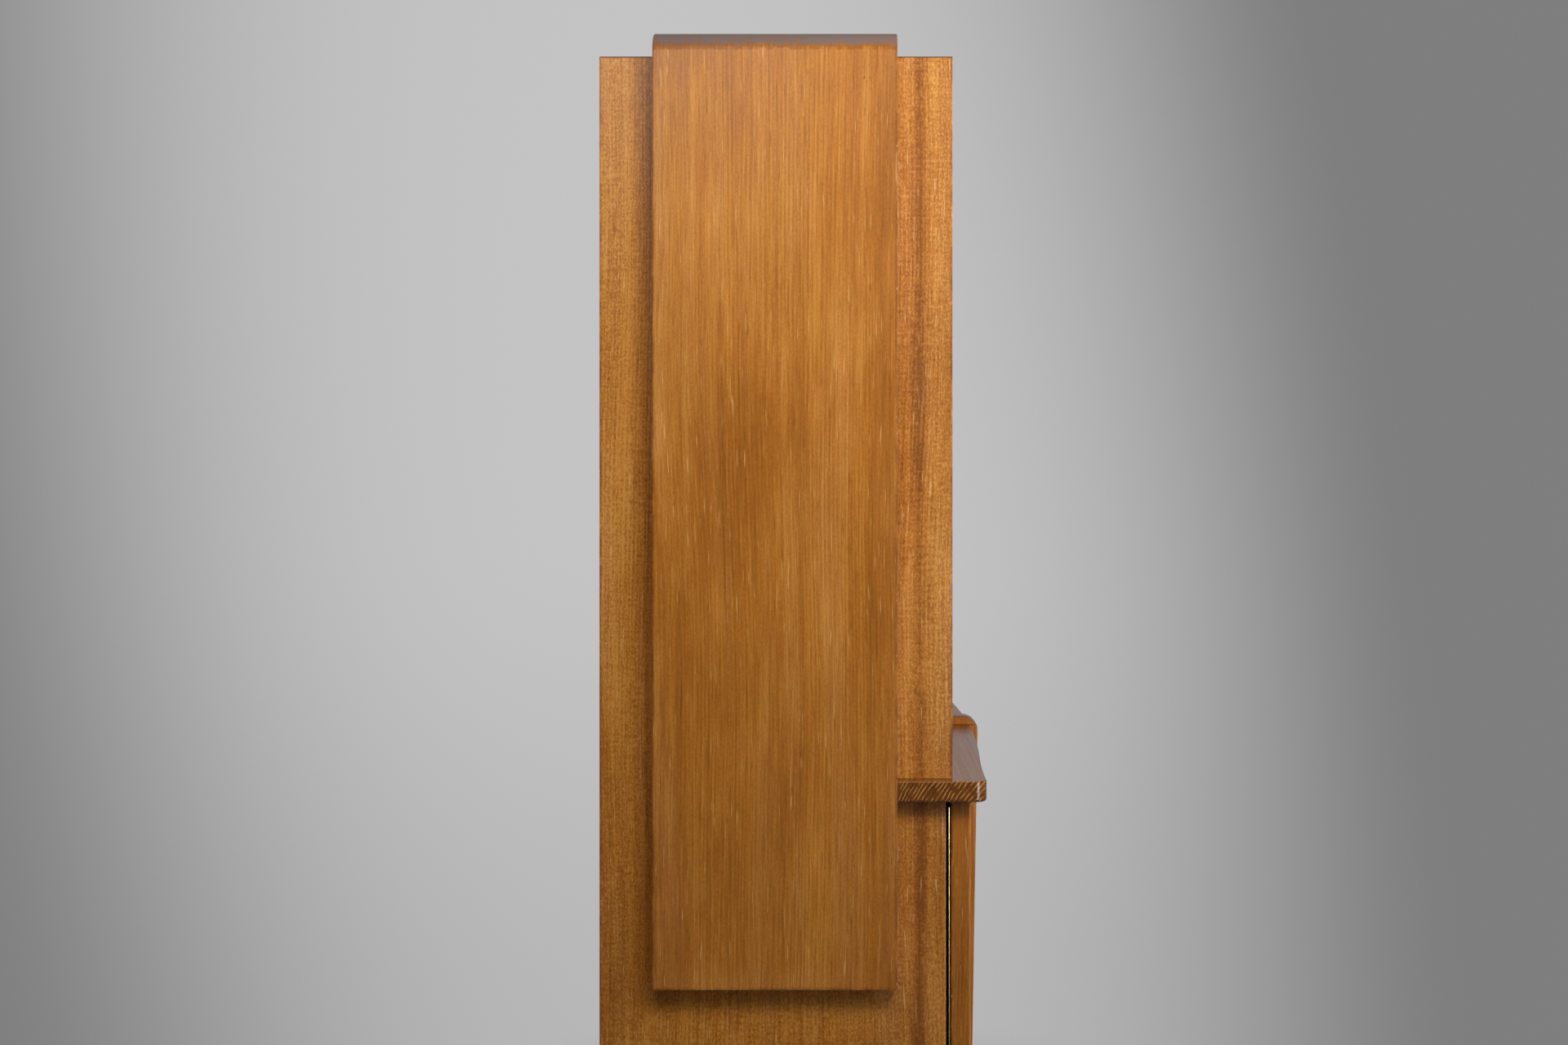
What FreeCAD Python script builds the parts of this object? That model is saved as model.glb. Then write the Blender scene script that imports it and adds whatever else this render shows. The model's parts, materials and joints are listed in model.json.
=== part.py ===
import FreeCAD, Part
import math
import os
from FreeCAD import Vector

os.makedirs("parts", exist_ok=True)

# Carcase boards, in millimetres
BODY_WIDTH = 1048.0
BODY_DEPTH = 432.0
BODY_HEIGHT = 1763.0
SIDE_THICKNESS = 22.0
TOP_THICKNESS = 22.0
BOTTOM_THICKNESS = 24.0
PARTITION_THICKNESS = 22.0
BACK_THICKNESS = 8.0
LOWER_SETBACK = 8.0
SIDE_ARRIS = 2.0
SILL_HEIGHT = 30.0
SILL_THICKNESS = 22.0

# Bands that climb the sides and fold over the top
BAND_WIDTH = 296.0
BAND_THICKNESS = 26.0
BAND_DROP = 226.0
BAND_ARRIS = 1.2

# Waist shelf with its serpentine front
SHELF_TOP = 880.0
SHELF_THICKNESS = 25.6
SHELF_EAR = 25.0
SHELF_OVERHANG = 40.5
SHELF_CORNER = 15.0
SHELF_TOP_ARRIS = 1.2
SHELF_BOTTOM_ARRIS = 3.5
SWELL_RADIUS = 5900.0
SWELL_HALF_SPAN = 354.0
FLARE_RADIUS = 3300.0

# Front pilaster that laps over the shelf
PILASTER_WIDTH = 28.0
PILASTER_HEAD = 14.0
PILASTER_NOSE_RADIUS = 23.0
PILASTER_STAND = 12.8
PILASTER_FOOT_STAND = 18.0
PILASTER_ARRIS = 3.0
BACKING_LAP = 22.0
BACKING_THICKNESS = 20.0

# Plinth
PLINTH_HEIGHT = 80.0
PLINTH_RAIL = 22.0
PLINTH_SIDE_INSET = 28.0
PLINTH_FRONT_INSET = 72.0
PLINTH_BACK_INSET = 30.0
PLINTH_BLOCK = 40.0
PLINTH_BLOCK_HEIGHT = 60.0

# Doors
UPPER_DOOR_THICKNESS = 22.0
UPPER_DOOR_RECESS = 6.0
LOWER_DOOR_THICKNESS = 24.0
DOOR_GAP = 2.5
DOOR_REST_GAP = 1.0
DOOR_ARRIS = 1.5
LOWER_DOOR_ARRIS = 2.5
STOP_STRIP = 12.0

# Piano hinges
KNUCKLE_RADIUS = 2.0
LOWER_KNUCKLE_COUNT = 7
UPPER_KNUCKLE_COUNT = 5
KNUCKLE_GAP = 0.2
PIN_RADIUS = 1.0
PIN_CLEARANCE = 0.05
LEAF_THICKNESS = 1.0
LEAF_WIDTH = 15.0
LEAF_CLEARANCE = 0.15
HINGE_END_GAP = 7.5
HINGE_EDGE = 0.2

# Rim locks of the upper doors
LOCK_HEIGHT_ABOVE_SHELF = 400.0
LOCK_CASE_WIDTH = 44.0
LOCK_CASE_DEPTH = 11.0
LOCK_CASE_BELOW_KEY = 16.0
LOCK_CASE_ABOVE_KEY = 24.0
LOCK_WALL = 1.5
LOCK_GAP = 2.0
LOCK_SLIP = 0.3
KEY_FROM_CASE_EDGE = 24.0
KEY_RADIUS = 2.5
KEY_CLEARANCE = 0.1
KEY_BIT_REACH = 11.0
KEY_BIT_THICKNESS = 2.4
KEY_NECK = 16.0
KEY_BOW_RADIUS = 11.0
KEY_BOW_HOLE = 6.0
KEY_BOW_THICKNESS = 4.0
BOLT_THROW = 9.0
BOLT_LENGTH = 36.0
BOLT_HEIGHT = 10.0
BOLT_THICKNESS = 5.0
BOLT_SET_IN = 3.0
BOLT_ABOVE_KEY = 8.0
TALON_WIDTH = 20.0
TALON_DEPTH = 4.0
MORTISE_CLEARANCE = 1.0
ESCUTCHEON_WIDTH = 20.0
ESCUTCHEON_HEIGHT = 34.0
ESCUTCHEON_THICKNESS = 1.5
ESCUTCHEON_CLIP = 5.0

# Pulls and catches of the lower doors
PULL_BELOW_SHELF = 190.0
PULL_FROM_EDGE = 27.0
PULL_LENGTH = 90.0
PULL_FOOT_WIDTH = 10.0
PULL_GRIP_WIDTH = 16.0
PULL_PROJECTION = 16.0
PULL_CLIP = 2.5
PULL_RIM = 3.0
PULL_LET_IN = 1.0
CATCH_FROM_EDGE = 45.0
CATCH_WIDTH = 46.0
CATCH_HEIGHT = 13.0
CATCH_DEPTH = 16.0
CATCH_ARRIS = 2.0
CATCH_PLATE_SIZE = 12.0
CATCH_PLATE_THICKNESS = 1.5
CATCH_PLATE_LET_IN = 1.0
CATCH_PLATE_DOWN = 1.0
CATCH_CLEARANCE = 0.5
SEAT_SLIP = 0.3

# Shelves inside
INNER_SHELF_THICKNESS = 18.0
INNER_SHELF_CLEARANCE = 0.5
UPPER_SHELF_COUNT = 3
LOWER_SHELF_COUNT = 1
UPPER_SHELF_SETBACK = 13.0
LOWER_SHELF_SETBACK = 19.0
INNER_SHELF_ARRIS = 2.0
CLEAT_WIDTH = 16.0
CLEAT_HEIGHT = 20.0
CLEAT_SHORT = 20.0

# Levels and plan lines worked out from the sizes above
HALF = BODY_WIDTH / 2
INNER = HALF - SIDE_THICKNESS
SHELF_BOTTOM = SHELF_TOP - SHELF_THICKNESS
SHELF_MIDDLE = (SHELF_TOP + SHELF_BOTTOM) / 2
SHELF_END = HALF + SHELF_EAR
FLOOR_TOP = PLINTH_HEIGHT + BOTTOM_THICKNESS
CEILING = BODY_HEIGHT - TOP_THICKNESS
BAND_BACK = (BODY_DEPTH - BAND_WIDTH) / 2
BAND_FRONT = BAND_BACK + BAND_WIDTH
LOWER_FRONT = BODY_DEPTH - LOWER_SETBACK
HALF_PARTITION = PARTITION_THICKNESS / 2
HALF_PILASTER = PILASTER_WIDTH / 2
HINGE_STACK = KNUCKLE_RADIUS + LEAF_CLEARANCE + LEAF_THICKNESS
HINGE_GAP = 2 * HINGE_STACK
PAST = 5.0
TOLERANCE = 1e-4

# The serpentine: a swell about the middle that turns into a flare towards each end
SWELL_COSINE = math.sqrt(1 - (SWELL_HALF_SPAN / SWELL_RADIUS) ** 2)
FLARE_X = SWELL_HALF_SPAN * (SWELL_RADIUS + FLARE_RADIUS) / SWELL_RADIUS
FLARE_RISE = (SWELL_RADIUS + FLARE_RADIUS) * SWELL_COSINE
FLARE_FORWARD = BODY_DEPTH + SHELF_OVERHANG + math.sqrt(FLARE_RADIUS**2 - (SHELF_END - FLARE_X) ** 2)
SWELL_FORWARD = FLARE_FORWARD - FLARE_RISE
SHELF_FRONT = SWELL_FORWARD + SWELL_RADIUS

# The lower doors follow the shelf's line, set back so that the hinge fits behind their outer edge
DOOR_BACK_AT_HINGE = LOWER_FRONT + HINGE_GAP
DOOR_FRONT_AT_HINGE = DOOR_BACK_AT_HINGE + LOWER_DOOR_THICKNESS
DOOR_INSET = math.hypot(FLARE_FORWARD - DOOR_FRONT_AT_HINGE, HALF - FLARE_X) - FLARE_RADIUS
DOOR_BACK_INSET = DOOR_INSET + LOWER_DOOR_THICKNESS

DEPTH = SHELF_FRONT + PILASTER_STAND
BACK_Y = DEPTH / 2


def bow(x, inset=0.0):
    """Distance of the serpentine front from the back plane, at x, set back by inset."""
    swell = SWELL_RADIUS - inset
    flare = FLARE_RADIUS + inset
    turn = SWELL_HALF_SPAN * swell / SWELL_RADIUS
    if abs(x) <= turn:
        return SWELL_FORWARD + math.sqrt(swell**2 - x**2)
    return FLARE_FORWARD - math.sqrt(flare**2 - (abs(x) - FLARE_X) ** 2)


BACKING_EDGE = HALF_PILASTER + BACKING_LAP
BACKING_FRONT = bow(BACKING_EDGE, DOOR_BACK_INSET) - DOOR_REST_GAP
BACKING_BACK = BACKING_FRONT - BACKING_THICKNESS
BOARD_INSET = SHELF_FRONT - BACKING_FRONT

UPPER_DOOR_FRONT = BODY_DEPTH - UPPER_DOOR_RECESS
UPPER_DOOR_BACK = UPPER_DOOR_FRONT - UPPER_DOOR_THICKNESS
UPPER_DOOR_BOTTOM = SHELF_TOP + SILL_HEIGHT + DOOR_GAP
UPPER_DOOR_TOP = CEILING - DOOR_GAP
UPPER_DOOR_EDGE = INNER - HINGE_GAP
LOWER_DOOR_BOTTOM = PLINTH_HEIGHT + DOOR_GAP
LOWER_DOOR_TOP = SHELF_BOTTOM - DOOR_GAP
LOWER_DOOR_FREE = HALF_PILASTER + DOOR_GAP

UPPER_SHELF_FRONT = UPPER_DOOR_BACK - LOCK_CASE_DEPTH - UPPER_SHELF_SETBACK
LOWER_SHELF_FRONT = LOWER_FRONT - LOWER_SHELF_SETBACK

PULL_X = LOWER_DOOR_FREE + PULL_FROM_EDGE
PULL_TOP = SHELF_BOTTOM - PULL_BELOW_SHELF
PULL_SEAT = bow(PULL_X, DOOR_INSET) - PULL_LET_IN
CATCH_X = LOWER_DOOR_FREE + CATCH_FROM_EDGE
PLATE_SEAT = bow(CATCH_X, DOOR_BACK_INSET) + CATCH_PLATE_LET_IN
PLATE_TOP = LOWER_DOOR_TOP - CATCH_PLATE_DOWN

KEY_Z = SHELF_TOP + LOCK_HEIGHT_ABOVE_SHELF
CASE_EDGE = HALF_PARTITION + LOCK_GAP
KEY_X = CASE_EDGE + KEY_FROM_CASE_EDGE
BOLT_BACK = UPPER_DOOR_BACK - BOLT_SET_IN - BOLT_THICKNESS
BOLT_FRONT = UPPER_DOOR_BACK - BOLT_SET_IN
BOLT_BOTTOM = KEY_Z + BOLT_ABOVE_KEY
BOLT_TOP = BOLT_BOTTOM + BOLT_HEIGHT


def plan(x, forward, z=0.0):
    """Point at x, so far forward of the back plane, at height z."""
    return Vector(x, BACK_Y - forward, z)


def board(x, forward, z):
    """Square-edged board between two x, two distances from the back plane and two heights."""
    corner = plan(min(x), max(forward), min(z))
    sizes = [max(pair) - min(pair) for pair in (x, forward, z)]
    return Part.makeBox(*sizes, corner)


def both_sides(name, shape):
    """The left piece and its mirror image on the right."""
    mirrored = shape.mirror(Vector(0, 0, 0), Vector(1, 0, 0))
    return {name + "_left": shape, name + "_right": mirrored}


def same(a, b):
    return abs(a - b) < TOLERANCE


def ease(shape, radius, chosen):
    """Round the edges whose bounding boxes are chosen."""
    return shape.makeFillet(radius, [edge for edge in shape.Edges if chosen(edge.BoundBox)])


def bevel(shape, size, chosen):
    """Chamfer the edges whose bounding boxes are chosen."""
    return shape.makeChamfer(size, [edge for edge in shape.Edges if chosen(edge.BoundBox)])


def upright(box):
    return box.XLength < TOLERANCE and box.YLength < TOLERANCE


def bow_edges(x_from, x_to, inset):
    """Arcs of the serpentine from one x to another."""
    turn = SWELL_HALF_SPAN * (SWELL_RADIUS - inset) / SWELL_RADIUS
    low, high = sorted((x_from, x_to))
    stops = sorted([x_from, x_to] + [t for t in (-turn, turn) if low < t < high], reverse=x_from > x_to)
    arcs = []
    for start, end in zip(stops, stops[1:]):
        points = [plan(x, bow(x, inset)) for x in (start, (start + end) / 2, end)]
        arcs.append(Part.Arc(*points).toShape())
    return arcs


def raise_outline(edges, z_from, z_to):
    """Solid between two heights over a closed outline of edges in plan."""
    solid = Part.Face(Part.Wire(edges)).extrude(Vector(0, 0, z_to - z_from))
    solid.translate(Vector(0, 0, z_from))
    return solid


def path(points):
    """Straight edges through a list of (x, forward) points."""
    corners = [plan(*point) for point in points]
    return [Part.makeLine(a, b) for a, b in zip(corners, corners[1:])]


def bow_board(x_from, x_to, back, inset, z_from, z_to):
    """Board with a straight back and sides and a serpentine front."""
    start = (x_to, bow(x_to, inset))
    end = (x_from, bow(x_from, inset))
    sides = path([end, (x_from, back), (x_to, back), start])
    return raise_outline(sides + bow_edges(x_to, x_from, inset), z_from, z_to)


def bow_slab(x_from, x_to, front_inset, back_inset, z_from, z_to):
    """Curved slab between two set-back lines of the serpentine."""
    near = path([(x_to, bow(x_to, back_inset)), (x_to, bow(x_to, front_inset))])
    far = path([(x_from, bow(x_from, front_inset)), (x_from, bow(x_from, back_inset))])
    front = bow_edges(x_to, x_from, front_inset)
    back = bow_edges(x_from, x_to, back_inset)
    return raise_outline(near + front + far + back, z_from, z_to)


def side_panel():
    """Left side: notched at the waist for the shelf and set back below it for the hinge."""
    across = (-HALF, -INNER)
    cutter = (-HALF - PAST, -INNER + PAST)
    panel = board(across, (0, BODY_DEPTH), (PLINTH_HEIGHT, BODY_HEIGHT))
    panel = panel.cut(board(cutter, (BAND_FRONT, BODY_DEPTH + PAST), (SHELF_BOTTOM, SHELF_TOP)))
    panel = panel.cut(board(cutter, (LOWER_FRONT, BODY_DEPTH + PAST), (0, SHELF_TOP)))

    def outer(box):
        on_face = same(box.XMin, -HALF) and same(box.XMax, -HALF)
        tall = box.ZLength > 2 * SHELF_THICKNESS
        top = same(box.ZMin, BODY_HEIGHT)
        return on_face and (tall or top)

    return ease(panel, SIDE_ARRIS, outer)


def band_side():
    """Left band: a board with a quarter-round bend at its top."""
    outer = -HALF - BAND_THICKNESS
    foot = SHELF_BOTTOM - BAND_DROP
    fold = BODY_HEIGHT + BAND_THICKNESS
    diagonal = BAND_THICKNESS * math.sqrt(0.5)
    middle = plan(-HALF - diagonal, BAND_FRONT, BODY_HEIGHT + diagonal)
    corners = [
        plan(-HALF, BAND_FRONT, fold),
        plan(-HALF, BAND_FRONT, foot),
        plan(outer, BAND_FRONT, foot),
        plan(outer, BAND_FRONT, BODY_HEIGHT),
    ]
    edges = [Part.makeLine(a, b) for a, b in zip(corners, corners[1:])]
    edges.append(Part.Arc(corners[3], middle, corners[0]).toShape())
    band = Part.Face(Part.Wire(edges)).extrude(Vector(0, BAND_WIDTH, 0))

    def outer_arris(box):
        return box.YLength < TOLERANCE and box.ZLength > TOLERANCE and not same(box.XMin, -HALF)

    return bevel(band, BAND_ARRIS, outer_arris)


def band_top():
    band = board((-HALF, HALF), (BAND_BACK, BAND_FRONT), (BODY_HEIGHT, BODY_HEIGHT + BAND_THICKNESS))
    crown = BODY_HEIGHT + BAND_THICKNESS
    return bevel(band, BAND_ARRIS, lambda box: same(box.ZMin, crown) and box.XLength > BAND_THICKNESS)


def waist_shelf():
    """Shelf between the sides, with an ear through each side's notch and a serpentine front."""
    end_front = bow(SHELF_END)
    sides = path(
        [
            (-SHELF_END, end_front),
            (-SHELF_END, BAND_FRONT),
            (-INNER, BAND_FRONT),
            (-INNER, BACK_THICKNESS),
            (INNER, BACK_THICKNESS),
            (INNER, BAND_FRONT),
            (SHELF_END, BAND_FRONT),
            (SHELF_END, end_front),
        ]
    )
    shelf = raise_outline(sides + bow_edges(SHELF_END, -SHELF_END, 0.0), SHELF_BOTTOM, SHELF_TOP)
    corner_y = plan(0, end_front).y
    shelf = ease(shelf, SHELF_CORNER, lambda box: upright(box) and same(box.YMin, corner_y))
    ear_y = plan(0, BAND_FRONT).y

    def rim(z):
        def chosen(box):
            level = same(box.ZMin, z) and same(box.ZMax, z)
            return level and box.YMax < ear_y + TOLERANCE and not same(box.YMin, ear_y)

        return chosen

    shelf = bevel(shelf, SHELF_TOP_ARRIS, rim(SHELF_TOP))
    return ease(shelf, SHELF_BOTTOM_ARRIS, rim(SHELF_BOTTOM))


def front_pilaster():
    """Leaning board with a rounded head that laps over the shelf, cut to the shelf's own line."""
    head = SHELF_TOP + PILASTER_HEAD
    brow = head - PILASTER_NOSE_RADIUS
    nose = DEPTH - PILASTER_NOSE_RADIUS
    foot = SHELF_FRONT - DOOR_INSET + PILASTER_FOOT_STAND
    diagonal = PILASTER_NOSE_RADIUS * math.sqrt(0.5)
    x = -HALF_PILASTER
    outline = [
        plan(x, DEPTH, brow),
        plan(x, foot, LOWER_DOOR_BOTTOM),
        plan(x, BACKING_FRONT, LOWER_DOOR_BOTTOM),
        plan(x, BACKING_FRONT, SHELF_BOTTOM),
        plan(x, UPPER_DOOR_FRONT, SHELF_BOTTOM),
        plan(x, UPPER_DOOR_FRONT, head),
        plan(x, nose, head),
    ]
    edges = [Part.makeLine(a, b) for a, b in zip(outline, outline[1:])]
    edges.append(Part.Arc(outline[-1], plan(x, nose + diagonal, brow + diagonal), outline[0]).toShape())
    block = Part.Face(Part.Wire(edges)).extrude(Vector(PILASTER_WIDTH, 0, 0))
    front_y = plan(0, foot).y

    def shown(box):
        in_side = box.XLength < TOLERANCE
        ahead = box.YMax < front_y + TOLERANCE and box.ZMax > LOWER_DOOR_BOTTOM + TOLERANCE
        crown = same(box.ZMin, head) and same(box.ZMax, head)
        return in_side and (ahead or crown)

    block = ease(block, PILASTER_ARRIS, shown)
    wide = HALF_PILASTER + PAST
    lapped = bow_board(-wide, wide, BODY_DEPTH / 2, 0.0, SHELF_BOTTOM, SHELF_TOP)
    return block.cut(lapped)


def upper_partition():
    """Upright between the bays, with a mortise that both lock bolts enter."""
    front = UPPER_DOOR_BACK - DOOR_REST_GAP
    upright_board = board((-HALF_PARTITION, HALF_PARTITION), (BACK_THICKNESS, front), (SHELF_TOP, CEILING))
    mortise = board(
        (-HALF_PARTITION - PAST, HALF_PARTITION + PAST),
        (BOLT_BACK - MORTISE_CLEARANCE, BOLT_FRONT + MORTISE_CLEARANCE),
        (BOLT_BOTTOM - MORTISE_CLEARANCE, BOLT_TOP + MORTISE_CLEARANCE),
    )
    return upright_board.cut(mortise)


def carcase():
    """Every fixed board of the body."""
    nodes = {}
    nodes.update(both_sides("side_panel", side_panel()))
    nodes.update(both_sides("band", band_side()))
    nodes["band_top"] = band_top()
    nodes["top_board"] = board((-INNER, INNER), (BACK_THICKNESS, BODY_DEPTH), (CEILING, BODY_HEIGHT))
    sill = (UPPER_DOOR_FRONT - SILL_THICKNESS, UPPER_DOOR_FRONT)
    nodes["upper_sill"] = board((-INNER, INNER), sill, (SHELF_TOP, SHELF_TOP + SILL_HEIGHT))
    nodes["waist_shelf"] = waist_shelf()
    nodes["bottom_board"] = bow_board(-INNER, INNER, BACK_THICKNESS, BOARD_INSET, PLINTH_HEIGHT, FLOOR_TOP)
    nodes["upper_partition"] = upper_partition()
    nodes["lower_partition"] = board(
        (-HALF_PARTITION, HALF_PARTITION), (BACK_THICKNESS, BACKING_BACK), (FLOOR_TOP, SHELF_BOTTOM)
    )
    nodes["centre_backing"] = board(
        (-BACKING_EDGE, BACKING_EDGE), (BACKING_BACK, BACKING_FRONT), (FLOOR_TOP, SHELF_BOTTOM)
    )
    nodes["front_pilaster"] = front_pilaster()
    nodes["back_panel_upper"] = board((-INNER, INNER), (0, BACK_THICKNESS), (SHELF_MIDDLE, BODY_HEIGHT))
    nodes["back_panel_lower"] = board((-INNER, INNER), (0, BACK_THICKNESS), (PLINTH_HEIGHT, SHELF_MIDDLE))
    strip = (UPPER_DOOR_BACK - DOOR_REST_GAP - STOP_STRIP, UPPER_DOOR_BACK - DOOR_REST_GAP)
    stop = board((-INNER, -HALF_PARTITION), strip, (CEILING - STOP_STRIP, CEILING))
    nodes["upper_door_stops"] = Part.makeCompound(list(both_sides("stop", stop).values()))
    return nodes


def plinth():
    """Set-back base: a serpentine front rail, straight rails and glue blocks in the corners."""
    outer = HALF - PLINTH_SIDE_INSET
    rail_inner = outer - PLINTH_RAIL
    rail_height = (0, PLINTH_HEIGHT)
    front_back_inset = PLINTH_FRONT_INSET + PLINTH_RAIL
    back = PLINTH_BACK_INSET
    beyond = bow_slab(-HALF, HALF, 0.0, front_back_inset, -PAST, FLOOR_TOP)
    side = board((-outer, -rail_inner), (back, BODY_DEPTH), rail_height).cut(beyond)
    nodes = both_sides("plinth", side)
    nodes["plinth_front"] = bow_slab(-outer, outer, PLINTH_FRONT_INSET, front_back_inset, 0.0, PLINTH_HEIGHT)
    nodes["plinth_back"] = board((-rail_inner, rail_inner), (back, back + PLINTH_RAIL), rail_height)
    block_x = (-rail_inner, -rail_inner + PLINTH_BLOCK)
    block_z = (PLINTH_HEIGHT - PLINTH_BLOCK_HEIGHT, PLINTH_HEIGHT)
    front_end = bow(rail_inner, front_back_inset) - PLINTH_BLOCK
    rear_block = board(block_x, (back + PLINTH_RAIL, back + PLINTH_RAIL + PLINTH_BLOCK), block_z)
    front_block = board(block_x, (front_end, BODY_DEPTH), block_z).cut(beyond)
    blocks = list(both_sides("rear", rear_block).values()) + list(both_sides("front", front_block).values())
    nodes["plinth_blocks"] = Part.makeCompound(blocks)
    return nodes


def inner_shelves(name, count, floor, ceiling, front):
    """Evenly spaced shelves in the left and right bays, each on a pair of cleats."""
    nodes = {}
    cleats = []
    space = (ceiling - floor - count * INNER_SHELF_THICKNESS) / (count + 1)
    across = (-INNER + INNER_SHELF_CLEARANCE, -HALF_PARTITION - INNER_SHELF_CLEARANCE)
    cleat_run = (BACK_THICKNESS, front - CLEAT_SHORT)
    outer_cleat = (-INNER, -INNER + CLEAT_WIDTH)
    inner_cleat = (-HALF_PARTITION - CLEAT_WIDTH, -HALF_PARTITION)
    front_y = plan(0, front).y

    def front_edge(box):
        return same(box.YMax, front_y) and box.XLength > CLEAT_WIDTH

    for number in range(1, count + 1):
        under = floor + number * space + (number - 1) * INNER_SHELF_THICKNESS
        shelf = board(across, (BACK_THICKNESS, front), (under, under + INNER_SHELF_THICKNESS))
        shelf = bevel(shelf, INNER_SHELF_ARRIS, front_edge)
        nodes.update(both_sides(f"{name}_shelf_{number}", shelf))
        for cleat_x in (outer_cleat, inner_cleat):
            cleat = board(cleat_x, cleat_run, (under - CLEAT_HEIGHT, under))
            cleats += both_sides("cleat", cleat).values()
    nodes[f"{name}_cleats"] = Part.makeCompound(cleats)
    return nodes


def hinge(axis_x, axis_forward, z_from, z_to, knuckles, place):
    """Carcase leaf, door leaf and pin of a piano hinge.

    place(along, across) turns a distance along the leaves and across the gap, both from the pin,
    into x and forward pairs.
    """
    pitch = (z_to - z_from) / knuckles
    reach = KNUCKLE_RADIUS + LEAF_CLEARANCE
    foot = plan(axis_x, axis_forward, z_from)
    bore = Part.makeCylinder(PIN_RADIUS + PIN_CLEARANCE, z_to - z_from + 2 * PAST, foot - Vector(0, 0, PAST))
    leaves = []
    for first, facing in ((0, -1), (1, 1)):
        plate = board(*place((0, LEAF_WIDTH), (facing * reach, facing * HINGE_STACK)), (z_from, z_to))
        pieces = []
        for index in range(first, knuckles, 2):
            low = z_from + index * pitch + KNUCKLE_GAP / 2
            high = low + pitch - KNUCKLE_GAP
            pieces.append(Part.makeCylinder(KNUCKLE_RADIUS, high - low, plan(axis_x, axis_forward, low)))
            pieces.append(board(*place((0, KNUCKLE_RADIUS), (0, facing * HINGE_STACK)), (low, high)))
        leaves.append(plate.multiFuse(pieces).cut(bore).removeSplitter())
    pin = Part.makeCylinder(PIN_RADIUS, z_to - z_from, foot)
    return leaves[0], leaves[1], pin


def hinges():
    """Lower hinges stand behind the doors' outer edges, upper ones beside the doors' front faces."""
    nodes = {}
    lower_x = -HALF + KNUCKLE_RADIUS + HINGE_EDGE
    lower_forward = LOWER_FRONT + HINGE_STACK
    upper_x = -INNER + HINGE_STACK

    def beside_lower(along, across):
        return [lower_x + u for u in along], [lower_forward + v for v in across]

    def beside_upper(along, across):
        return [upper_x + v for v in across], [UPPER_DOOR_FRONT - u for u in along]

    lower_ends = (LOWER_DOOR_BOTTOM + HINGE_END_GAP, LOWER_DOOR_TOP - HINGE_END_GAP)
    upper_ends = (UPPER_DOOR_BOTTOM + HINGE_END_GAP, UPPER_DOOR_TOP - HINGE_END_GAP)
    lower = hinge(lower_x, lower_forward, *lower_ends, LOWER_KNUCKLE_COUNT, beside_lower)
    upper = hinge(upper_x, UPPER_DOOR_FRONT, *upper_ends, UPPER_KNUCKLE_COUNT, beside_upper)
    for name, (carcase_leaf, door_leaf, pin) in (("lower", lower), ("upper", upper)):
        nodes.update(both_sides(f"hinge_{name}_carcase_leaf", carcase_leaf))
        nodes.update(both_sides(f"hinge_{name}_door_leaf", door_leaf))
        nodes[f"hinge_{name}_pins"] = Part.makeCompound(list(both_sides("pin", pin).values()))
    return nodes


def pull_seat():
    """Flat-bottomed recess for the pull's foot in the door's front."""
    half = PULL_FOOT_WIDTH / 2 + SEAT_SLIP
    depth = (PULL_SEAT, PULL_SEAT + PULL_PROJECTION)
    height = (PULL_TOP - PULL_LENGTH - SEAT_SLIP, PULL_TOP + SEAT_SLIP)
    return board((-PULL_X - half, -PULL_X + half), depth, height)


def plate_seat():
    """Flat-bottomed recess for the catch's plate in the door's back."""
    half = CATCH_PLATE_SIZE / 2 + SEAT_SLIP
    depth = (PLATE_SEAT - LOWER_DOOR_THICKNESS, PLATE_SEAT)
    height = (PLATE_TOP - CATCH_PLATE_SIZE - SEAT_SLIP, PLATE_TOP + SEAT_SLIP)
    return board((-CATCH_X - half, -CATCH_X + half), depth, height)


def lower_door():
    """Left lower door: a serpentine slab with a flat land for the hinge along its outer edge."""
    heights = (LOWER_DOOR_BOTTOM, LOWER_DOOR_TOP)
    door = bow_slab(-HALF, -LOWER_DOOR_FREE, DOOR_INSET, DOOR_BACK_INSET, *heights)
    land_end = HALF - 2 * KNUCKLE_RADIUS - LEAF_WIDTH
    land = board((-HALF, -land_end), (DOOR_BACK_AT_HINGE, DOOR_FRONT_AT_HINGE - LOWER_DOOR_ARRIS), heights)
    behind = (DOOR_BACK_AT_HINGE - LOWER_DOOR_THICKNESS, DOOR_BACK_AT_HINGE)
    rebate = board((-HALF - PAST, -land_end), behind, heights)
    door = door.cut(rebate).fuse(land).removeSplitter()
    front_y = plan(0, DOOR_FRONT_AT_HINGE).y
    free_y = plan(0, bow(LOWER_DOOR_FREE, DOOR_INSET)).y
    door = ease(door, LOWER_DOOR_ARRIS, lambda box: upright(box) and same(box.YMin, front_y))
    door = ease(door, DOOR_ARRIS, lambda box: upright(box) and same(box.YMin, free_y))
    return door.cut(pull_seat()).cut(plate_seat())


def keyhole(front):
    """Round hole and slot that the key passes through, from the lock out to the given front."""
    length = front - UPPER_DOOR_BACK + 2 * PAST
    start = plan(-KEY_X, UPPER_DOOR_BACK - PAST, KEY_Z)
    hole = Part.makeCylinder(KEY_RADIUS + KEY_CLEARANCE, length, start, Vector(0, -1, 0))
    half_slot = KEY_BIT_THICKNESS / 2 + LOCK_SLIP
    slot = board(
        (-KEY_X - half_slot, -KEY_X + half_slot),
        (UPPER_DOOR_BACK - PAST, front + PAST),
        (KEY_Z - KEY_BIT_REACH - LOCK_SLIP, KEY_Z),
    )
    return hole.fuse(slot)


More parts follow.
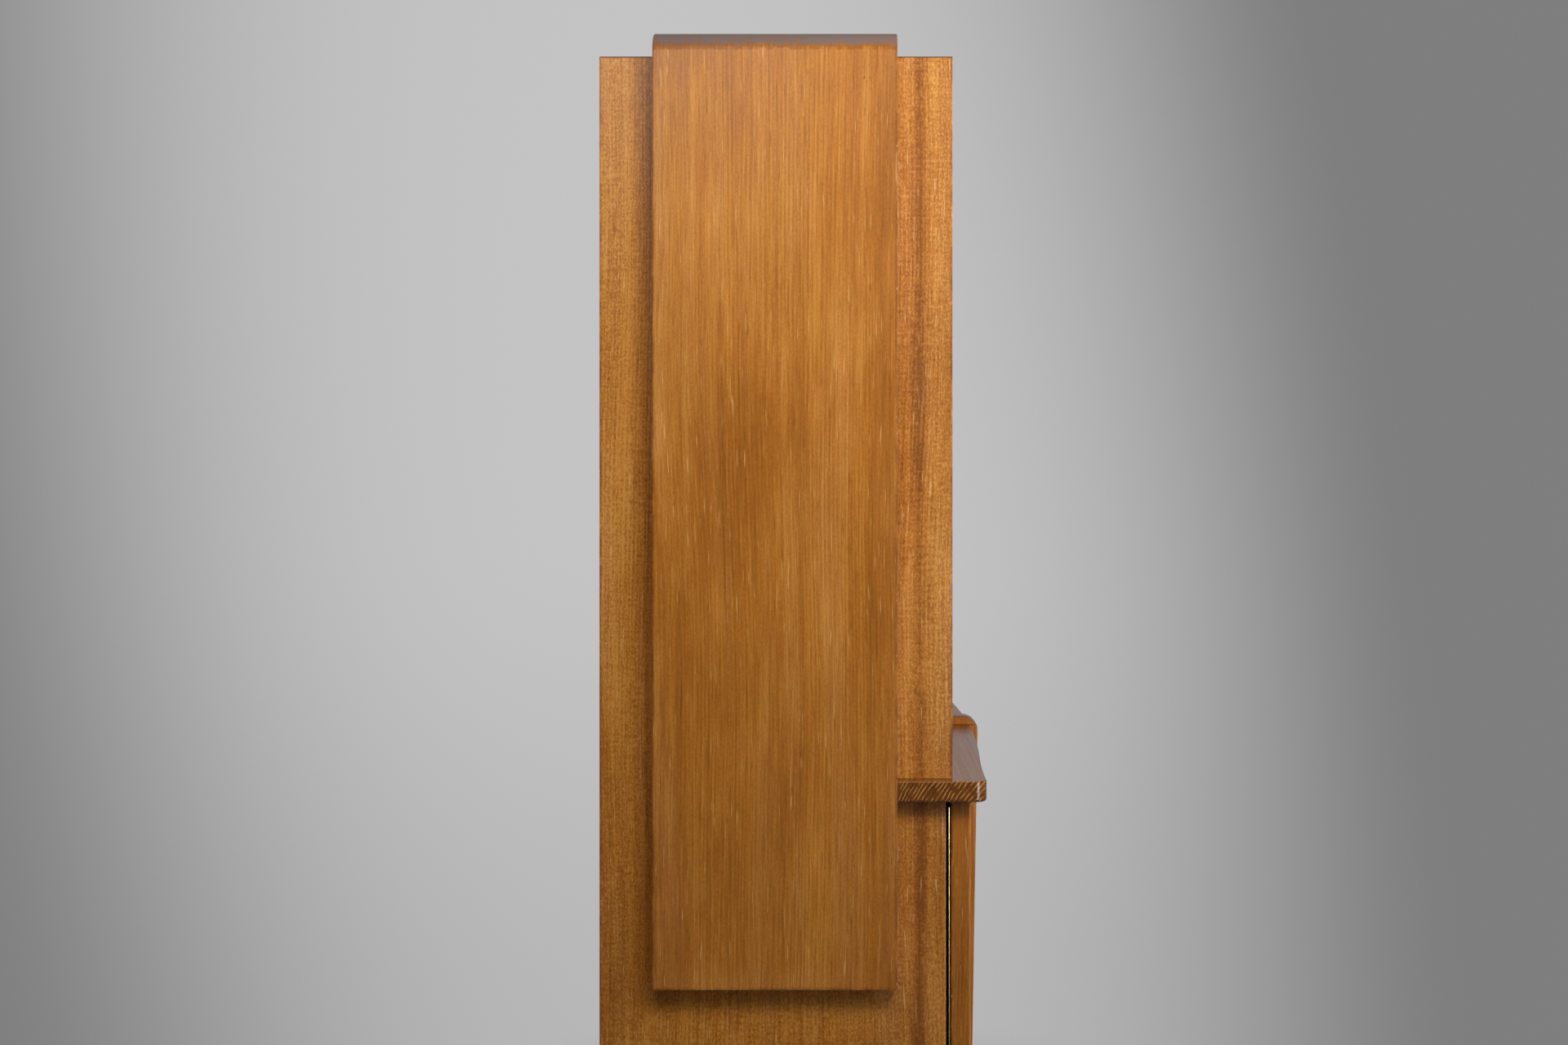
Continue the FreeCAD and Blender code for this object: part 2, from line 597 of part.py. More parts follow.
def upper_door():
    """Left upper door: a flush board between the side and the middle, with its keyhole."""
    across = (-UPPER_DOOR_EDGE, -DOOR_GAP / 2)
    door = board(across, (UPPER_DOOR_BACK, UPPER_DOOR_FRONT), (UPPER_DOOR_BOTTOM, UPPER_DOOR_TOP))
    front_y = plan(0, UPPER_DOOR_FRONT).y

    def front_rim(box):
        on_front = same(box.YMin, front_y) and same(box.YMax, front_y)
        return on_front and not same(box.XMax, -UPPER_DOOR_EDGE)

    return ease(door, DOOR_ARRIS, front_rim).cut(keyhole(UPPER_DOOR_FRONT))


def lock_case():
    """Thin case on the door's back, open towards the door, with a slot for the bolt."""
    outer = (-CASE_EDGE - LOCK_CASE_WIDTH, -CASE_EDGE)
    depth = (UPPER_DOOR_BACK - LOCK_CASE_DEPTH, UPPER_DOOR_BACK)
    height = (KEY_Z - LOCK_CASE_BELOW_KEY, KEY_Z + LOCK_CASE_ABOVE_KEY)
    hollow = board(
        (outer[0] + LOCK_WALL, outer[1] - LOCK_WALL),
        (depth[0] + LOCK_WALL, depth[1] + PAST),
        (height[0] + LOCK_WALL, height[1] - LOCK_WALL),
    )
    slot = board(
        (-CASE_EDGE - 2 * LOCK_WALL, -CASE_EDGE + PAST),
        (BOLT_BACK - LOCK_SLIP, BOLT_FRONT + LOCK_SLIP),
        (BOLT_BOTTOM - LOCK_SLIP, BOLT_TOP + LOCK_SLIP),
    )
    return board(outer, depth, height).cut(hollow).cut(slot)


def lock_bolt():
    """Bolt drawn back into the case, with the talon notch that the key's bit sweeps through."""
    bolt = board((-CASE_EDGE - BOLT_LENGTH, -CASE_EDGE), (BOLT_BACK, BOLT_FRONT), (BOLT_BOTTOM, BOLT_TOP))
    middle = -KEY_X - BOLT_THROW / 2
    talon = board(
        (middle - TALON_WIDTH / 2, middle + TALON_WIDTH / 2),
        (BOLT_BACK - PAST, BOLT_FRONT + PAST),
        (BOLT_BOTTOM - PAST, BOLT_BOTTOM + TALON_DEPTH),
    )
    return bolt.cut(talon)


def key():
    """Key with its bit hanging down inside the lock and a pierced round bow in front of the door."""
    neck = UPPER_DOOR_FRONT + ESCUTCHEON_THICKNESS + KEY_NECK
    tip = BOLT_BACK
    shank = Part.makeCylinder(KEY_RADIUS, neck - tip, plan(-KEY_X, tip, KEY_Z), Vector(0, -1, 0))
    half_bit = KEY_BIT_THICKNESS / 2
    bit_x = (-KEY_X - half_bit, -KEY_X + half_bit)
    bit = board(bit_x, (BOLT_BACK, BOLT_FRONT), (KEY_Z - KEY_BIT_REACH, KEY_Z))
    start = plan(-KEY_X - KEY_BOW_THICKNESS / 2, neck + KEY_BOW_RADIUS - KEY_RADIUS, KEY_Z)
    bow_disc = Part.makeCylinder(KEY_BOW_RADIUS, KEY_BOW_THICKNESS, start, Vector(1, 0, 0))
    bow_hole = Part.makeCylinder(KEY_BOW_HOLE, KEY_BOW_THICKNESS, start, Vector(1, 0, 0))
    return shank.fuse(bit).fuse(bow_disc.cut(bow_hole))


def escutcheon():
    """Plate with clipped corners round the keyhole."""
    front = UPPER_DOOR_FRONT + ESCUTCHEON_THICKNESS
    half_width = ESCUTCHEON_WIDTH / 2
    half_height = ESCUTCHEON_HEIGHT / 2
    across = (-KEY_X - half_width, -KEY_X + half_width)
    plate = board(across, (UPPER_DOOR_FRONT, front), (KEY_Z - half_height, KEY_Z + half_height))
    plate = bevel(plate, ESCUTCHEON_CLIP, lambda box: box.XLength < TOLERANCE and box.ZLength < TOLERANCE)
    return plate.cut(keyhole(front))


def pull():
    """Upright wooden pull, undercut at both sides and let into the door's front."""
    foot = PULL_FOOT_WIDTH / 2
    grip = PULL_GRIP_WIDTH / 2
    face = PULL_SEAT + PULL_LET_IN + PULL_PROJECTION
    right = [
        (foot, PULL_SEAT),
        (foot, PULL_SEAT + PULL_LET_IN),
        (grip, face - PULL_CLIP - PULL_RIM),
        (grip, face - PULL_CLIP),
        (grip - PULL_CLIP, face),
    ]
    outline = right + [(-half, forward) for half, forward in reversed(right)]
    edges = path([(half - PULL_X, forward) for half, forward in outline + outline[:1]])
    return raise_outline(edges, PULL_TOP - PULL_LENGTH, PULL_TOP)


def magnet_catch():
    """Magnet block under the shelf, just behind the door and its steel plate."""
    outer = CATCH_X + CATCH_WIDTH / 2
    face = min(bow(outer, DOOR_BACK_INSET), PLATE_SEAT - CATCH_PLATE_THICKNESS) - CATCH_CLEARANCE
    lower_z = SHELF_BOTTOM - CATCH_HEIGHT
    block = board((-outer, -outer + CATCH_WIDTH), (face - CATCH_DEPTH, face), (lower_z, SHELF_BOTTOM))
    return bevel(block, CATCH_ARRIS, lambda box: same(box.ZMax, lower_z))


def catch_plate():
    half = CATCH_PLATE_SIZE / 2
    thickness = (PLATE_SEAT - CATCH_PLATE_THICKNESS, PLATE_SEAT)
    return board((-CATCH_X - half, -CATCH_X + half), thickness, (PLATE_TOP - CATCH_PLATE_SIZE, PLATE_TOP))


def doors():
    nodes = {}
    nodes.update(both_sides("door_lower", lower_door()))
    nodes.update(both_sides("pull_lower", pull()))
    nodes["magnet_catches"] = Part.makeCompound(list(both_sides("magnet", magnet_catch()).values()))
    nodes.update(both_sides("catch_plate", catch_plate()))
    nodes.update(both_sides("door_upper", upper_door()))
    nodes.update(both_sides("lock_case", lock_case()))
    nodes.update(both_sides("lock_bolt", lock_bolt()))
    nodes.update(both_sides("key", key()))
    nodes.update(both_sides("escutcheon", escutcheon()))
    return nodes


def main():
    nodes = carcase()
    nodes.update(plinth())
    nodes.update(inner_shelves("upper", UPPER_SHELF_COUNT, SHELF_TOP, CEILING, UPPER_SHELF_FRONT))
    nodes.update(inner_shelves("lower", LOWER_SHELF_COUNT, FLOOR_TOP, SHELF_BOTTOM, LOWER_SHELF_FRONT))
    nodes.update(hinges())
    nodes.update(doors())
    for name, shape in nodes.items():
        shape.exportStep(f"parts/{name}.step")


main()
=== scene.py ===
import json
import math

import bmesh
import bpy
from mathutils import Matrix, Vector


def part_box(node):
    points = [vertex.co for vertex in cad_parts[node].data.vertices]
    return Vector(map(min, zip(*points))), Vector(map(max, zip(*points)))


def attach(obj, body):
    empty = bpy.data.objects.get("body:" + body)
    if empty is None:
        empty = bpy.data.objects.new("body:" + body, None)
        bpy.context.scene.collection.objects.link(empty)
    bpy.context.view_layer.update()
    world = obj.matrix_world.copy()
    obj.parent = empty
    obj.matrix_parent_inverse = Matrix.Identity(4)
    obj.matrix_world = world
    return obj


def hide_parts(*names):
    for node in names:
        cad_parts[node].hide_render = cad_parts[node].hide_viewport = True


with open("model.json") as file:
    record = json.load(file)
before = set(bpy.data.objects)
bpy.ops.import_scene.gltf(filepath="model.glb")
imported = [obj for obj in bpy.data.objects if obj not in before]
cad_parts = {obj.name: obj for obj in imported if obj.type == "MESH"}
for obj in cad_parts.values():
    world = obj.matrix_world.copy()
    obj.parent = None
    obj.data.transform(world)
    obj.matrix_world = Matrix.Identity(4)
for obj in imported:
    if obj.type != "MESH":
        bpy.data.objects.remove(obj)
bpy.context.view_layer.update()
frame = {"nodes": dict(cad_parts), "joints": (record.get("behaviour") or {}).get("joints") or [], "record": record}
nodes = frame["nodes"]
joints = {joint["name"]: joint for joint in frame["joints"]}
SIDES = ("left", "right")
BACK_PANELS = ("back_panel_upper", "back_panel_lower")
MM = 0.001
FULL_TURN = 2 * math.pi


# Node graph helpers

# The colour sockets of a Mix node go by number, because its sockets of other types share their names
MIX_BASE = 6
MIX_COLOUR = 7
MIX_RESULT = 2
NOISE_MEAN = 0.5


class Graph:
    """Adds and links nodes in one tree; a number or a tuple sets a socket, a socket is linked to it."""

    def __init__(self, tree):
        self.tree = tree

    def add(self, kind, inputs=None, **settings):
        node = self.tree.nodes.new(kind)
        for name, value in settings.items():
            setattr(node, name, value)
        for name, value in (inputs or {}).items():
            self.feed(node.inputs[name], value)
        return node

    def feed(self, socket, value):
        if isinstance(value, bpy.types.NodeSocket):
            self.tree.links.new(value, socket)
        else:
            socket.default_value = value

    def math(self, operation, a, b=0.0):
        return self.add("ShaderNodeMath", {0: a, 1: b}, operation=operation).outputs[0]

    def vector(self, operation, a, b=(0.0, 0.0, 0.0)):
        return self.add("ShaderNodeVectorMath", {0: a, 1: b}, operation=operation).outputs[0]

    def length(self, vector):
        return self.add("ShaderNodeVectorMath", {0: vector}, operation="LENGTH").outputs["Value"]

    def axes(self, vector):
        """The x, y and z of a vector."""
        return self.add("ShaderNodeSeparateXYZ", {0: vector}).outputs

    def join(self, x, y, z=0.0):
        return self.add("ShaderNodeCombineXYZ", {0: x, 1: y, 2: z}).outputs[0]

    def stretch(self, value, low, high, to_low=0.0, to_high=1.0):
        """Value taken smoothly from one range to another, held at its ends."""
        node = self.add("ShaderNodeMapRange", interpolation_type="SMOOTHSTEP")
        for socket, number in zip(node.inputs, (value, low, high, to_low, to_high)):
            self.feed(socket, number)
        return node.outputs[0]

    def noise(self, vector, scale, detail=2.0, rough=0.5):
        """Noise about its mean, stretched by a scale for each axis, in features per metre."""
        spread = self.vector("MULTIPLY", vector, scale)
        inputs = {"Vector": spread, "Scale": 1.0, "Detail": detail, "Roughness": rough}
        return self.add("ShaderNodeTexNoise", inputs).outputs["Fac"]

    def ramp(self, value, stops):
        """Colour that runs through (place, colour) stops."""
        node = self.add("ShaderNodeValToRGB", {"Fac": value})
        elements = node.color_ramp.elements
        while len(elements) < len(stops):
            elements.new(0.5)
        for element, (place, colour) in zip(elements, stops):
            element.position = place
            element.color = (*colour, 1.0)
        return node.outputs["Color"]

    def tint(self, mode, amount, base, colour):
        """Base blended with a colour, by an amount from 0 to 1."""
        node = self.add("ShaderNodeMix", {"Factor": amount}, data_type="RGBA", blend_type=mode)
        self.feed(node.inputs[MIX_BASE], base)
        self.feed(node.inputs[MIX_COLOUR], (*colour, 1.0) if isinstance(colour, tuple) else colour)
        return node.outputs[MIX_RESULT]


def new_material(name):
    """Empty material with its graph, its surface shader and its texture coordinates."""
    material = bpy.data.materials.new(name)
    material.use_nodes = True
    graph = Graph(material.node_tree)
    shader = material.node_tree.nodes["Principled BSDF"]
    place = graph.add("ShaderNodeTexCoord").outputs["Object"]
    return material, graph, shader, place


def set_relief(graph, shader, height, strength, depth):
    """Bump of the surface, from a height between 0 and 1."""
    bump = graph.add("ShaderNodeBump", {"Strength": strength, "Distance": depth, "Height": height})
    graph.feed(shader.inputs["Normal"], bump.outputs[0])


def weighted(graph, parts, start):
    """Start plus each noise's departure from its mean, times its weight."""
    total = start
    for value, weight in parts:
        departure = graph.math("SUBTRACT", value, NOISE_MEAN)
        total = graph.math("ADD", total, graph.math("MULTIPLY", departure, weight))
    return total


def dress(obj, material):
    """Gives a piece its one material."""
    obj.data.materials.clear()
    obj.data.materials.append(material)


# Grain and edges of a board

GRAIN_ORDER = {"z": "xyz", "x": "yzx", "y": "zxy"}
BOARD_SHIFT = (0.37, 0.71, 0.53)


def along_grain(graph, place, axis, seed):
    """Coordinates with the third one running along the grain, shifted for each board."""
    split = graph.axes(place)
    joined = graph.join(*(split["xyz".index(letter)] for letter in GRAIN_ORDER[axis]))
    return graph.vector("ADD", joined, tuple(step * seed for step in BOARD_SHIFT))


def grain_noise(graph, grain, look):
    """Noise from features per metre across the grain and along it, and its detail."""
    across, along, detail = look
    return graph.noise(grain, (across, across, along), detail)


def edge_distance(graph, place, node_name):
    """Distance along the surface of a board from the nearest edge of its box."""
    low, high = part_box(node_name)
    from_low = graph.vector("SUBTRACT", place, low)
    from_high = graph.vector("SUBTRACT", high, place)
    x, y, z = graph.axes(graph.vector("MINIMUM", from_low, from_high))
    lesser = graph.math("MINIMUM", x, y)
    greater = graph.math("MAXIMUM", x, y)
    return graph.math("MAXIMUM", lesser, graph.math("MINIMUM", greater, z))


def dark_band(graph, value, place, half, depth):
    """How dark a soft band is, about one place on an axis."""
    aside = graph.math("ABSOLUTE", graph.math("SUBTRACT", value, place))
    return graph.stretch(aside, half, 0.0, 0.0, depth)


# Elm of the outside

ELM_DARK = (0.225, 0.068, 0.008)
ELM_MIDDLE = (0.430, 0.146, 0.0165)
ELM_LIGHT = (0.640, 0.274, 0.044)
ELM_STREAK = (0.780, 0.450, 0.140)
ELM_EDGE = (0.110, 0.032, 0.010)
ELM_NICK = (0.700, 0.520, 0.360)
# Colours of the painted sheen of the grey backdrop, mixed with dust, on faces that turn up
ELM_DUST_SHEEN = (0.205, 0.132, 0.105)
ELM_SHEEN_HAZE = (0.180, 0.145, 0.140)
ROSE_CAST = (1.05, 1.11, 1.5)
# Paler, cooler cast, for faded edges and for the painted light on the front strip
FADE_AND_LIGHT_CAST = (1.09, 1.17, 1.6)

# Looks of the figure, as grain_noise takes them
SWAY = (3.0, 1.3, 1.0)
STRIPES = (17.0, 0.7, 2.0)
BANDS = (62.0, 0.9, 1.0)
LINES = (190.0, 2.6, 2.0)
FIBRES = (480.0, 17.0, 3.0)
FLAKES = (460.0, 300.0, 2.0)
RIPPLES = (46.0, 250.0, 2.0)
CLOUDS = (6.0, 3.2, 3.0)
HUES = (27.0, 1.9, 2.0)
STREAKS = (430.0, 24.0, 1.0)
PORES = (540.0, 34.0, 1.0)

LINE_PITCH = 4.8 * MM
LINE_WANDER = 6.0
LINE_DRIFT = (9.0, 0.55, 2.0)
LINE_PATCHES = (21.0, 1.3, 2.0)
LINE_PATCH_RANGE = (0.34, 0.66)
LINE_STRENGTHS = (0.1, 0.5)


def growth_lines(graph, grain):
    """Fine lines side by side along the grain, drifting a little and fading in and out."""
    x, y, _ = graph.axes(grain)
    turns = graph.math("DIVIDE", graph.math("ADD", x, y), LINE_PITCH)
    wander = graph.math("MULTIPLY", grain_noise(graph, grain, LINE_DRIFT), LINE_WANDER)
    wave = graph.math("SINE", graph.math("MULTIPLY", graph.math("ADD", turns, wander), FULL_TURN))
    strength = graph.stretch(grain_noise(graph, grain, LINE_PATCHES), *LINE_PATCH_RANGE, *LINE_STRENGTHS)
    return graph.math("ADD", graph.math("MULTIPLY", wave, strength), NOISE_MEAN)


SPECK_CELLS = (210.0, 210.0, 95.0)
SPECK_CLUSTERS = (19.0, 11.0, 2.0)
SPECK_CLUSTER_RANGE = (0.58, 0.72)
SPECK_CLUSTER_PULL = 0.42
SPECK_CHOSEN_RANGE = (0.91, 1.06)
SPECK_RAGGED = (900.0, 260.0, 1.0)
SPECK_RIM_RANGE = (0.70, 0.42)
SPECK_DEPTH = 0.75


def specks(graph, grain):
    """Short dark marks the width of a pin, gathered in a few loose clusters."""
    spread = graph.vector("MULTIPLY", grain, SPECK_CELLS)
    cells = graph.add("ShaderNodeTexVoronoi", {"Vector": spread, "Scale": 1.0}).outputs
    lot = graph.add("ShaderNodeSeparateColor", {0: cells["Color"]}).outputs[0]
    cluster = graph.stretch(grain_noise(graph, grain, SPECK_CLUSTERS), *SPECK_CLUSTER_RANGE)
    drawn = graph.math("ADD", lot, graph.math("MULTIPLY", cluster, SPECK_CLUSTER_PULL))
    rim = graph.math("ADD", cells["Distance"], grain_noise(graph, grain, SPECK_RAGGED))
    mark = graph.stretch(rim, *SPECK_RIM_RANGE, 0.0, SPECK_DEPTH)
    return graph.math("MULTIPLY", mark, graph.stretch(drawn, *SPECK_CHOSEN_RANGE))


UPRIGHT = 0.03


def upward(graph):
    """How far the surface faces up, from 0 all over an upright face to 1 on a level one."""
    geometry = graph.add("ShaderNodeNewGeometry").outputs
    smooth = graph.axes(geometry["Normal"])[2]
    flat = graph.axes(geometry["True Normal"])[2]
    return graph.math("MULTIPLY", smooth, graph.math("GREATER_THAN", flat, UPRIGHT))


# Painted shaded rim, then painted sheen of the backdrop with some dust, on faces that turn up
DUST_SHEEN_PATCHES = ((95.0, 95.0, 95.0), 5.0, 0.68)
RAGGED_RISE = (0.0, 0.12)
RAGGED_REACH = 0.85
SHADED_RIM_RISE = (0.02, 0.16)
SHADED_RIM_DEPTH = 0.55
DUST_SHEEN_RISE = (0.14, 0.46)
DUST_SHEEN_DEPTH = 0.94
LEVEL_RISE = (0.97, 0.995)
LEVEL_DUST_SHEEN = 0.65
SHEEN_HAZE_PATCHES = ((120.0, 60.0, 120.0), 3.0)
SHEEN_HAZE_STOPS = ((0.40, ELM_DUST_SHEEN), (0.64, ELM_SHEEN_HAZE))


def dust_and_sheen(graph, place, colour):
    """Colour with a painted shaded rim and then a painted grey sheen of the backdrop mixed with dust, in ragged
    patches, where the surface turns up.
    """
    up = upward(graph)
    patches = graph.math("SUBTRACT", graph.noise(place, *DUST_SHEEN_PATCHES), NOISE_MEAN)
    ragged = graph.math("MULTIPLY", patches, graph.stretch(up, *RAGGED_RISE, 0.0, RAGGED_REACH))
    rise = graph.math("ADD", up, ragged)
    # Painted shade: a darker rim where the surface begins to turn up
    colour = graph.tint("MIX", graph.stretch(rise, *SHADED_RIM_RISE, 0.0, SHADED_RIM_DEPTH), colour, ELM_DARK)
    # Painted reflection of the grey backdrop, with some dust, further up; less of it on level faces
    level = graph.stretch(up, *LEVEL_RISE, 1.0, LEVEL_DUST_SHEEN)
    amount = graph.math("MULTIPLY", graph.stretch(rise, *DUST_SHEEN_RISE, 0.0, DUST_SHEEN_DEPTH), level)
    return graph.tint("MIX", amount, colour, graph.ramp(graph.noise(place, *SHEEN_HAZE_PATCHES), SHEEN_HAZE_STOPS))


SWAY_REACH = 30.0 * MM


def swaying(graph, grain):
    """Grain that bends a little from side to side along the board."""
    sway = graph.math("SUBTRACT", grain_noise(graph, grain, SWAY), NOISE_MEAN)
    drift = graph.math("MULTIPLY", sway, SWAY_REACH)
    return graph.vector("ADD", grain, graph.join(drift, drift))


TONE_STOPS = ((0.12, ELM_DARK), (0.5, ELM_MIDDLE), (0.88, ELM_LIGHT))
HUE_RANGE = (0.42, 0.68)
STREAK_RANGE = (0.66, 0.78)
STREAK_DEPTH = 0.55


def elm_colour(graph, grain, value, pore):
    """Colour of a tone, rosy in places, with pale streaks, dark pores and specks."""
    colour = graph.ramp(value, TONE_STOPS)
    rosy = graph.stretch(grain_noise(graph, grain, HUES), *HUE_RANGE)
    colour = graph.tint("MULTIPLY", rosy, colour, ROSE_CAST)
    streak = graph.stretch(grain_noise(graph, grain, STREAKS), *STREAK_RANGE, 0.0, STREAK_DEPTH)
    colour = graph.tint("MIX", streak, colour, ELM_STREAK)
    colour = graph.tint("MIX", pore, colour, ELM_DARK)
    return graph.tint("MIX", specks(graph, grain), colour, ELM_EDGE)


EDGE_REACH = 4.5 * MM
RUB_PATCHES = ((90.0, 90.0, 40.0), 3.0)
RUB_RANGE = (0.32, 0.62)
RUB_DEPTHS = (0.05, 0.62)
NICK_REACH = (1.6 * MM, 0.4 * MM)
CHIPS = ((150.0, 150.0, 130.0), 2.0)
CHIP_RANGE = (0.66, 0.72)
CHIP_DEPTH = 0.7


def worn_edges(graph, place, near, colour):
    """Colour that darkens in patches close to the edges, with a few pale nicks."""
    rubbed = graph.stretch(graph.noise(place, *RUB_PATCHES), *RUB_RANGE, *RUB_DEPTHS)
    edge = graph.math("MULTIPLY", graph.stretch(near, EDGE_REACH, 0.0), rubbed)
    colour = graph.tint("MIX", edge, colour, ELM_EDGE)
    chip = graph.stretch(graph.noise(place, *CHIPS), *CHIP_RANGE, 0.0, CHIP_DEPTH)
    nick = graph.math("MULTIPLY", graph.stretch(near, *NICK_REACH), chip)
    return graph.tint("MIX", nick, colour, ELM_NICK)


STRIPE_WEIGHT = 0.34
BAND_WEIGHT = 0.22
GROWTH_WEIGHT = 0.11
LINE_WEIGHT = 0.26
FIBRE_WEIGHT = 0.58
CLOUD_WEIGHT = 0.60
PORE_RANGE = (0.36, 0.26)
PORE_DEPTH = 0.45
# A darker stripe a set distance behind the front
DARK_STRIPE_HALF = 15.0 * MM
DARK_STRIPE_DEPTH = 0.38
FADE_REACH = (42.0 * MM, 3.0 * MM)
FADE_CLOUDS = (0.35, 0.65)
# Reach of the painted light that pales the front strip
FRONT_LIGHT_GONE = 95.0 * MM
FRONT_LIGHT_FULL = 62.0 * MM
JOINT_HALF = 1.6 * MM
JOINT_DEPTH = 0.75
ELM_ROUGHNESS = 0.40
ELM_POLISH = (0.20, 0.12)
ELM_SPECULAR = 0.12
ELM_HEIGHTS = (0.6, 0.35)
PORE_SINK = 0.7
ELM_RELIEF = 0.22
ELM_RELIEF_DEPTH = 0.3 * MM


def elm(
    node_name, seed, axis, tone=0.5, flake=0.25, contrast=1.0, ripple=0.0,
    dark_stripe=0.0, fade=0.0, painted_front_light=0.0, joint=0.0,
):
    """Oiled elm: stripes, growth lines, fibres, pores, streaks, specks, paler and worn edges, a front paled by
    painted light, and painted shade, painted sheen and dust where it turns up.

    dark_stripe is how far a darker stripe lies behind the front, painted_front_light is how much painted light
    pales the front strip, and joint is the height of a dark line.
    """
    material, graph, shader, place = new_material("elm_" + node_name)
    _, y, z = graph.axes(place)
    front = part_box(node_name)[0].y
    near = edge_distance(graph, place, node_name)
    grain = swaying(graph, along_grain(graph, place, axis, seed))
    lines = grain_noise(graph, grain, LINES)
    fibres = grain_noise(graph, grain, FIBRES)
    clouds = grain_noise(graph, grain, CLOUDS)
    pore = graph.stretch(grain_noise(graph, grain, PORES), *PORE_RANGE, 0.0, PORE_DEPTH)
    parts = [
        (grain_noise(graph, grain, STRIPES), STRIPE_WEIGHT * contrast),
        (grain_noise(graph, grain, BANDS), BAND_WEIGHT * contrast),
        (growth_lines(graph, grain), GROWTH_WEIGHT * contrast),
        (lines, LINE_WEIGHT * contrast),
        (fibres, FIBRE_WEIGHT),
        (grain_noise(graph, grain, FLAKES), flake),
        (grain_noise(graph, grain, RIPPLES), ripple),
        (clouds, CLOUD_WEIGHT * contrast),
    ]
    value = weighted(graph, parts, tone)
    # A darker stripe a set distance behind the front
    if dark_stripe:
        value = graph.math("SUBTRACT", value, dark_band(graph, y, front + dark_stripe, DARK_STRIPE_HALF, DARK_STRIPE_DEPTH))
    colour = elm_colour(graph, grain, value, pore)
    cloudy = graph.stretch(clouds, *FADE_CLOUDS)
    faded = graph.math("MULTIPLY", graph.stretch(near, *FADE_REACH, 0.0, fade), cloudy)
    colour = graph.tint("MULTIPLY", faded, colour, FADE_AND_LIGHT_CAST)
    # Painted light: the front strip made paler, where the lamps fall on it more strongly
    if painted_front_light:
        paler = graph.stretch(y, front + FRONT_LIGHT_GONE, front + FRONT_LIGHT_FULL, 0.0, painted_front_light)
        colour = graph.tint("MULTIPLY", paler, colour, FADE_AND_LIGHT_CAST)
    # Worn edges, then painted shade and painted sheen with dust where the surface turns up
    colour = dust_and_sheen(graph, place, worn_edges(graph, place, near, colour))
    if joint:
        colour = graph.tint("MIX", dark_band(graph, z, joint, JOINT_HALF, JOINT_DEPTH), colour, ELM_EDGE)
    graph.feed(shader.inputs["Base Color"], colour)
    polish = weighted(graph, zip((clouds, fibres), ELM_POLISH), ELM_ROUGHNESS)
    graph.feed(shader.inputs["Roughness"], polish)
    shader.inputs["Specular IOR Level"].default_value = ELM_SPECULAR
    height = weighted(graph, zip((fibres, lines), ELM_HEIGHTS), NOISE_MEAN)
    height = graph.math("SUBTRACT", height, graph.math("MULTIPLY", pore, PORE_SINK))
    set_relief(graph, shader, height, ELM_RELIEF, ELM_RELIEF_DEPTH)
    return material


# Elm of the waist shelf

RING_COUNT = 317.0
RING_CROWDING = 1.5
RING_DRIFT = ((1.2, 38.0, 38.0), 2.0)
RING_WANDER = 8.0 * MM
RING_PALE_RANGE = (0.66, 1.0)


def pale_rings(graph, place, pith_y, pith_z):
    """Narrow pale part of each growth ring about the pith; the rings crowd together further out."""
    _, y, z = graph.axes(place)
    across = graph.join(graph.math("SUBTRACT", y, pith_y), graph.math("SUBTRACT", z, pith_z))
    wander = graph.math("MULTIPLY", graph.noise(place, *RING_DRIFT), RING_WANDER)
    radius = graph.math("ADD", graph.length(across), wander)
    phase = graph.math("MULTIPLY", graph.math("POWER", radius, RING_CROWDING), FULL_TURN * RING_COUNT)
    swing = graph.math("MULTIPLY", graph.math("SINE", phase), 0.5)
    return graph.stretch(graph.math("ADD", swing, 0.5), *RING_PALE_RANGE)


SHELF_DARK = (0.085, 0.024, 0.005)
SHELF_MIDDLE = (0.215, 0.072, 0.008)
SHELF_LIGHT = (0.530, 0.245, 0.055)
SHELF_RUBBED = (0.400, 0.165, 0.065)
SHELF_STOPS = ((0.1, SHELF_DARK), (0.5, SHELF_MIDDLE), (0.95, SHELF_LIGHT))
SHELF_TONE = 0.79
SHELF_WEIGHTS = (0.95, 0.40, 0.30, 0.40)
SHELF_SPREAD = ((1.0, 90.0, 90.0), 2.0)
SHELF_FIBRES = (420.0, 3.0, 2.0)
SHELF_CLOUDS = ((3.0, 24.0, 24.0), 2.0)
SHELF_BREAKS = ((2.0, 64.0, 64.0), 3.0)
BREAK_RANGE = (0.36, 0.60)
BREAK_STRENGTHS = (0.12, 1.0)
END_FACING = (0.3, 0.9)
END_STRENGTHS = (0.10, 1.0)
RUBBED_REACH = (2.2 * MM, 0.4 * MM)
RUBBED_DEPTH = 0.5
END_POLISHED = (0.90, 0.99)
END_ROUGHNESS = (0.27, 0.19)
SHELF_POLISH = (0.15, 0.20)
SHELF_SPECULAR = 0.28
SHELF_RELIEF = 0.13
SHELF_RELIEF_DEPTH = 0.25 * MM


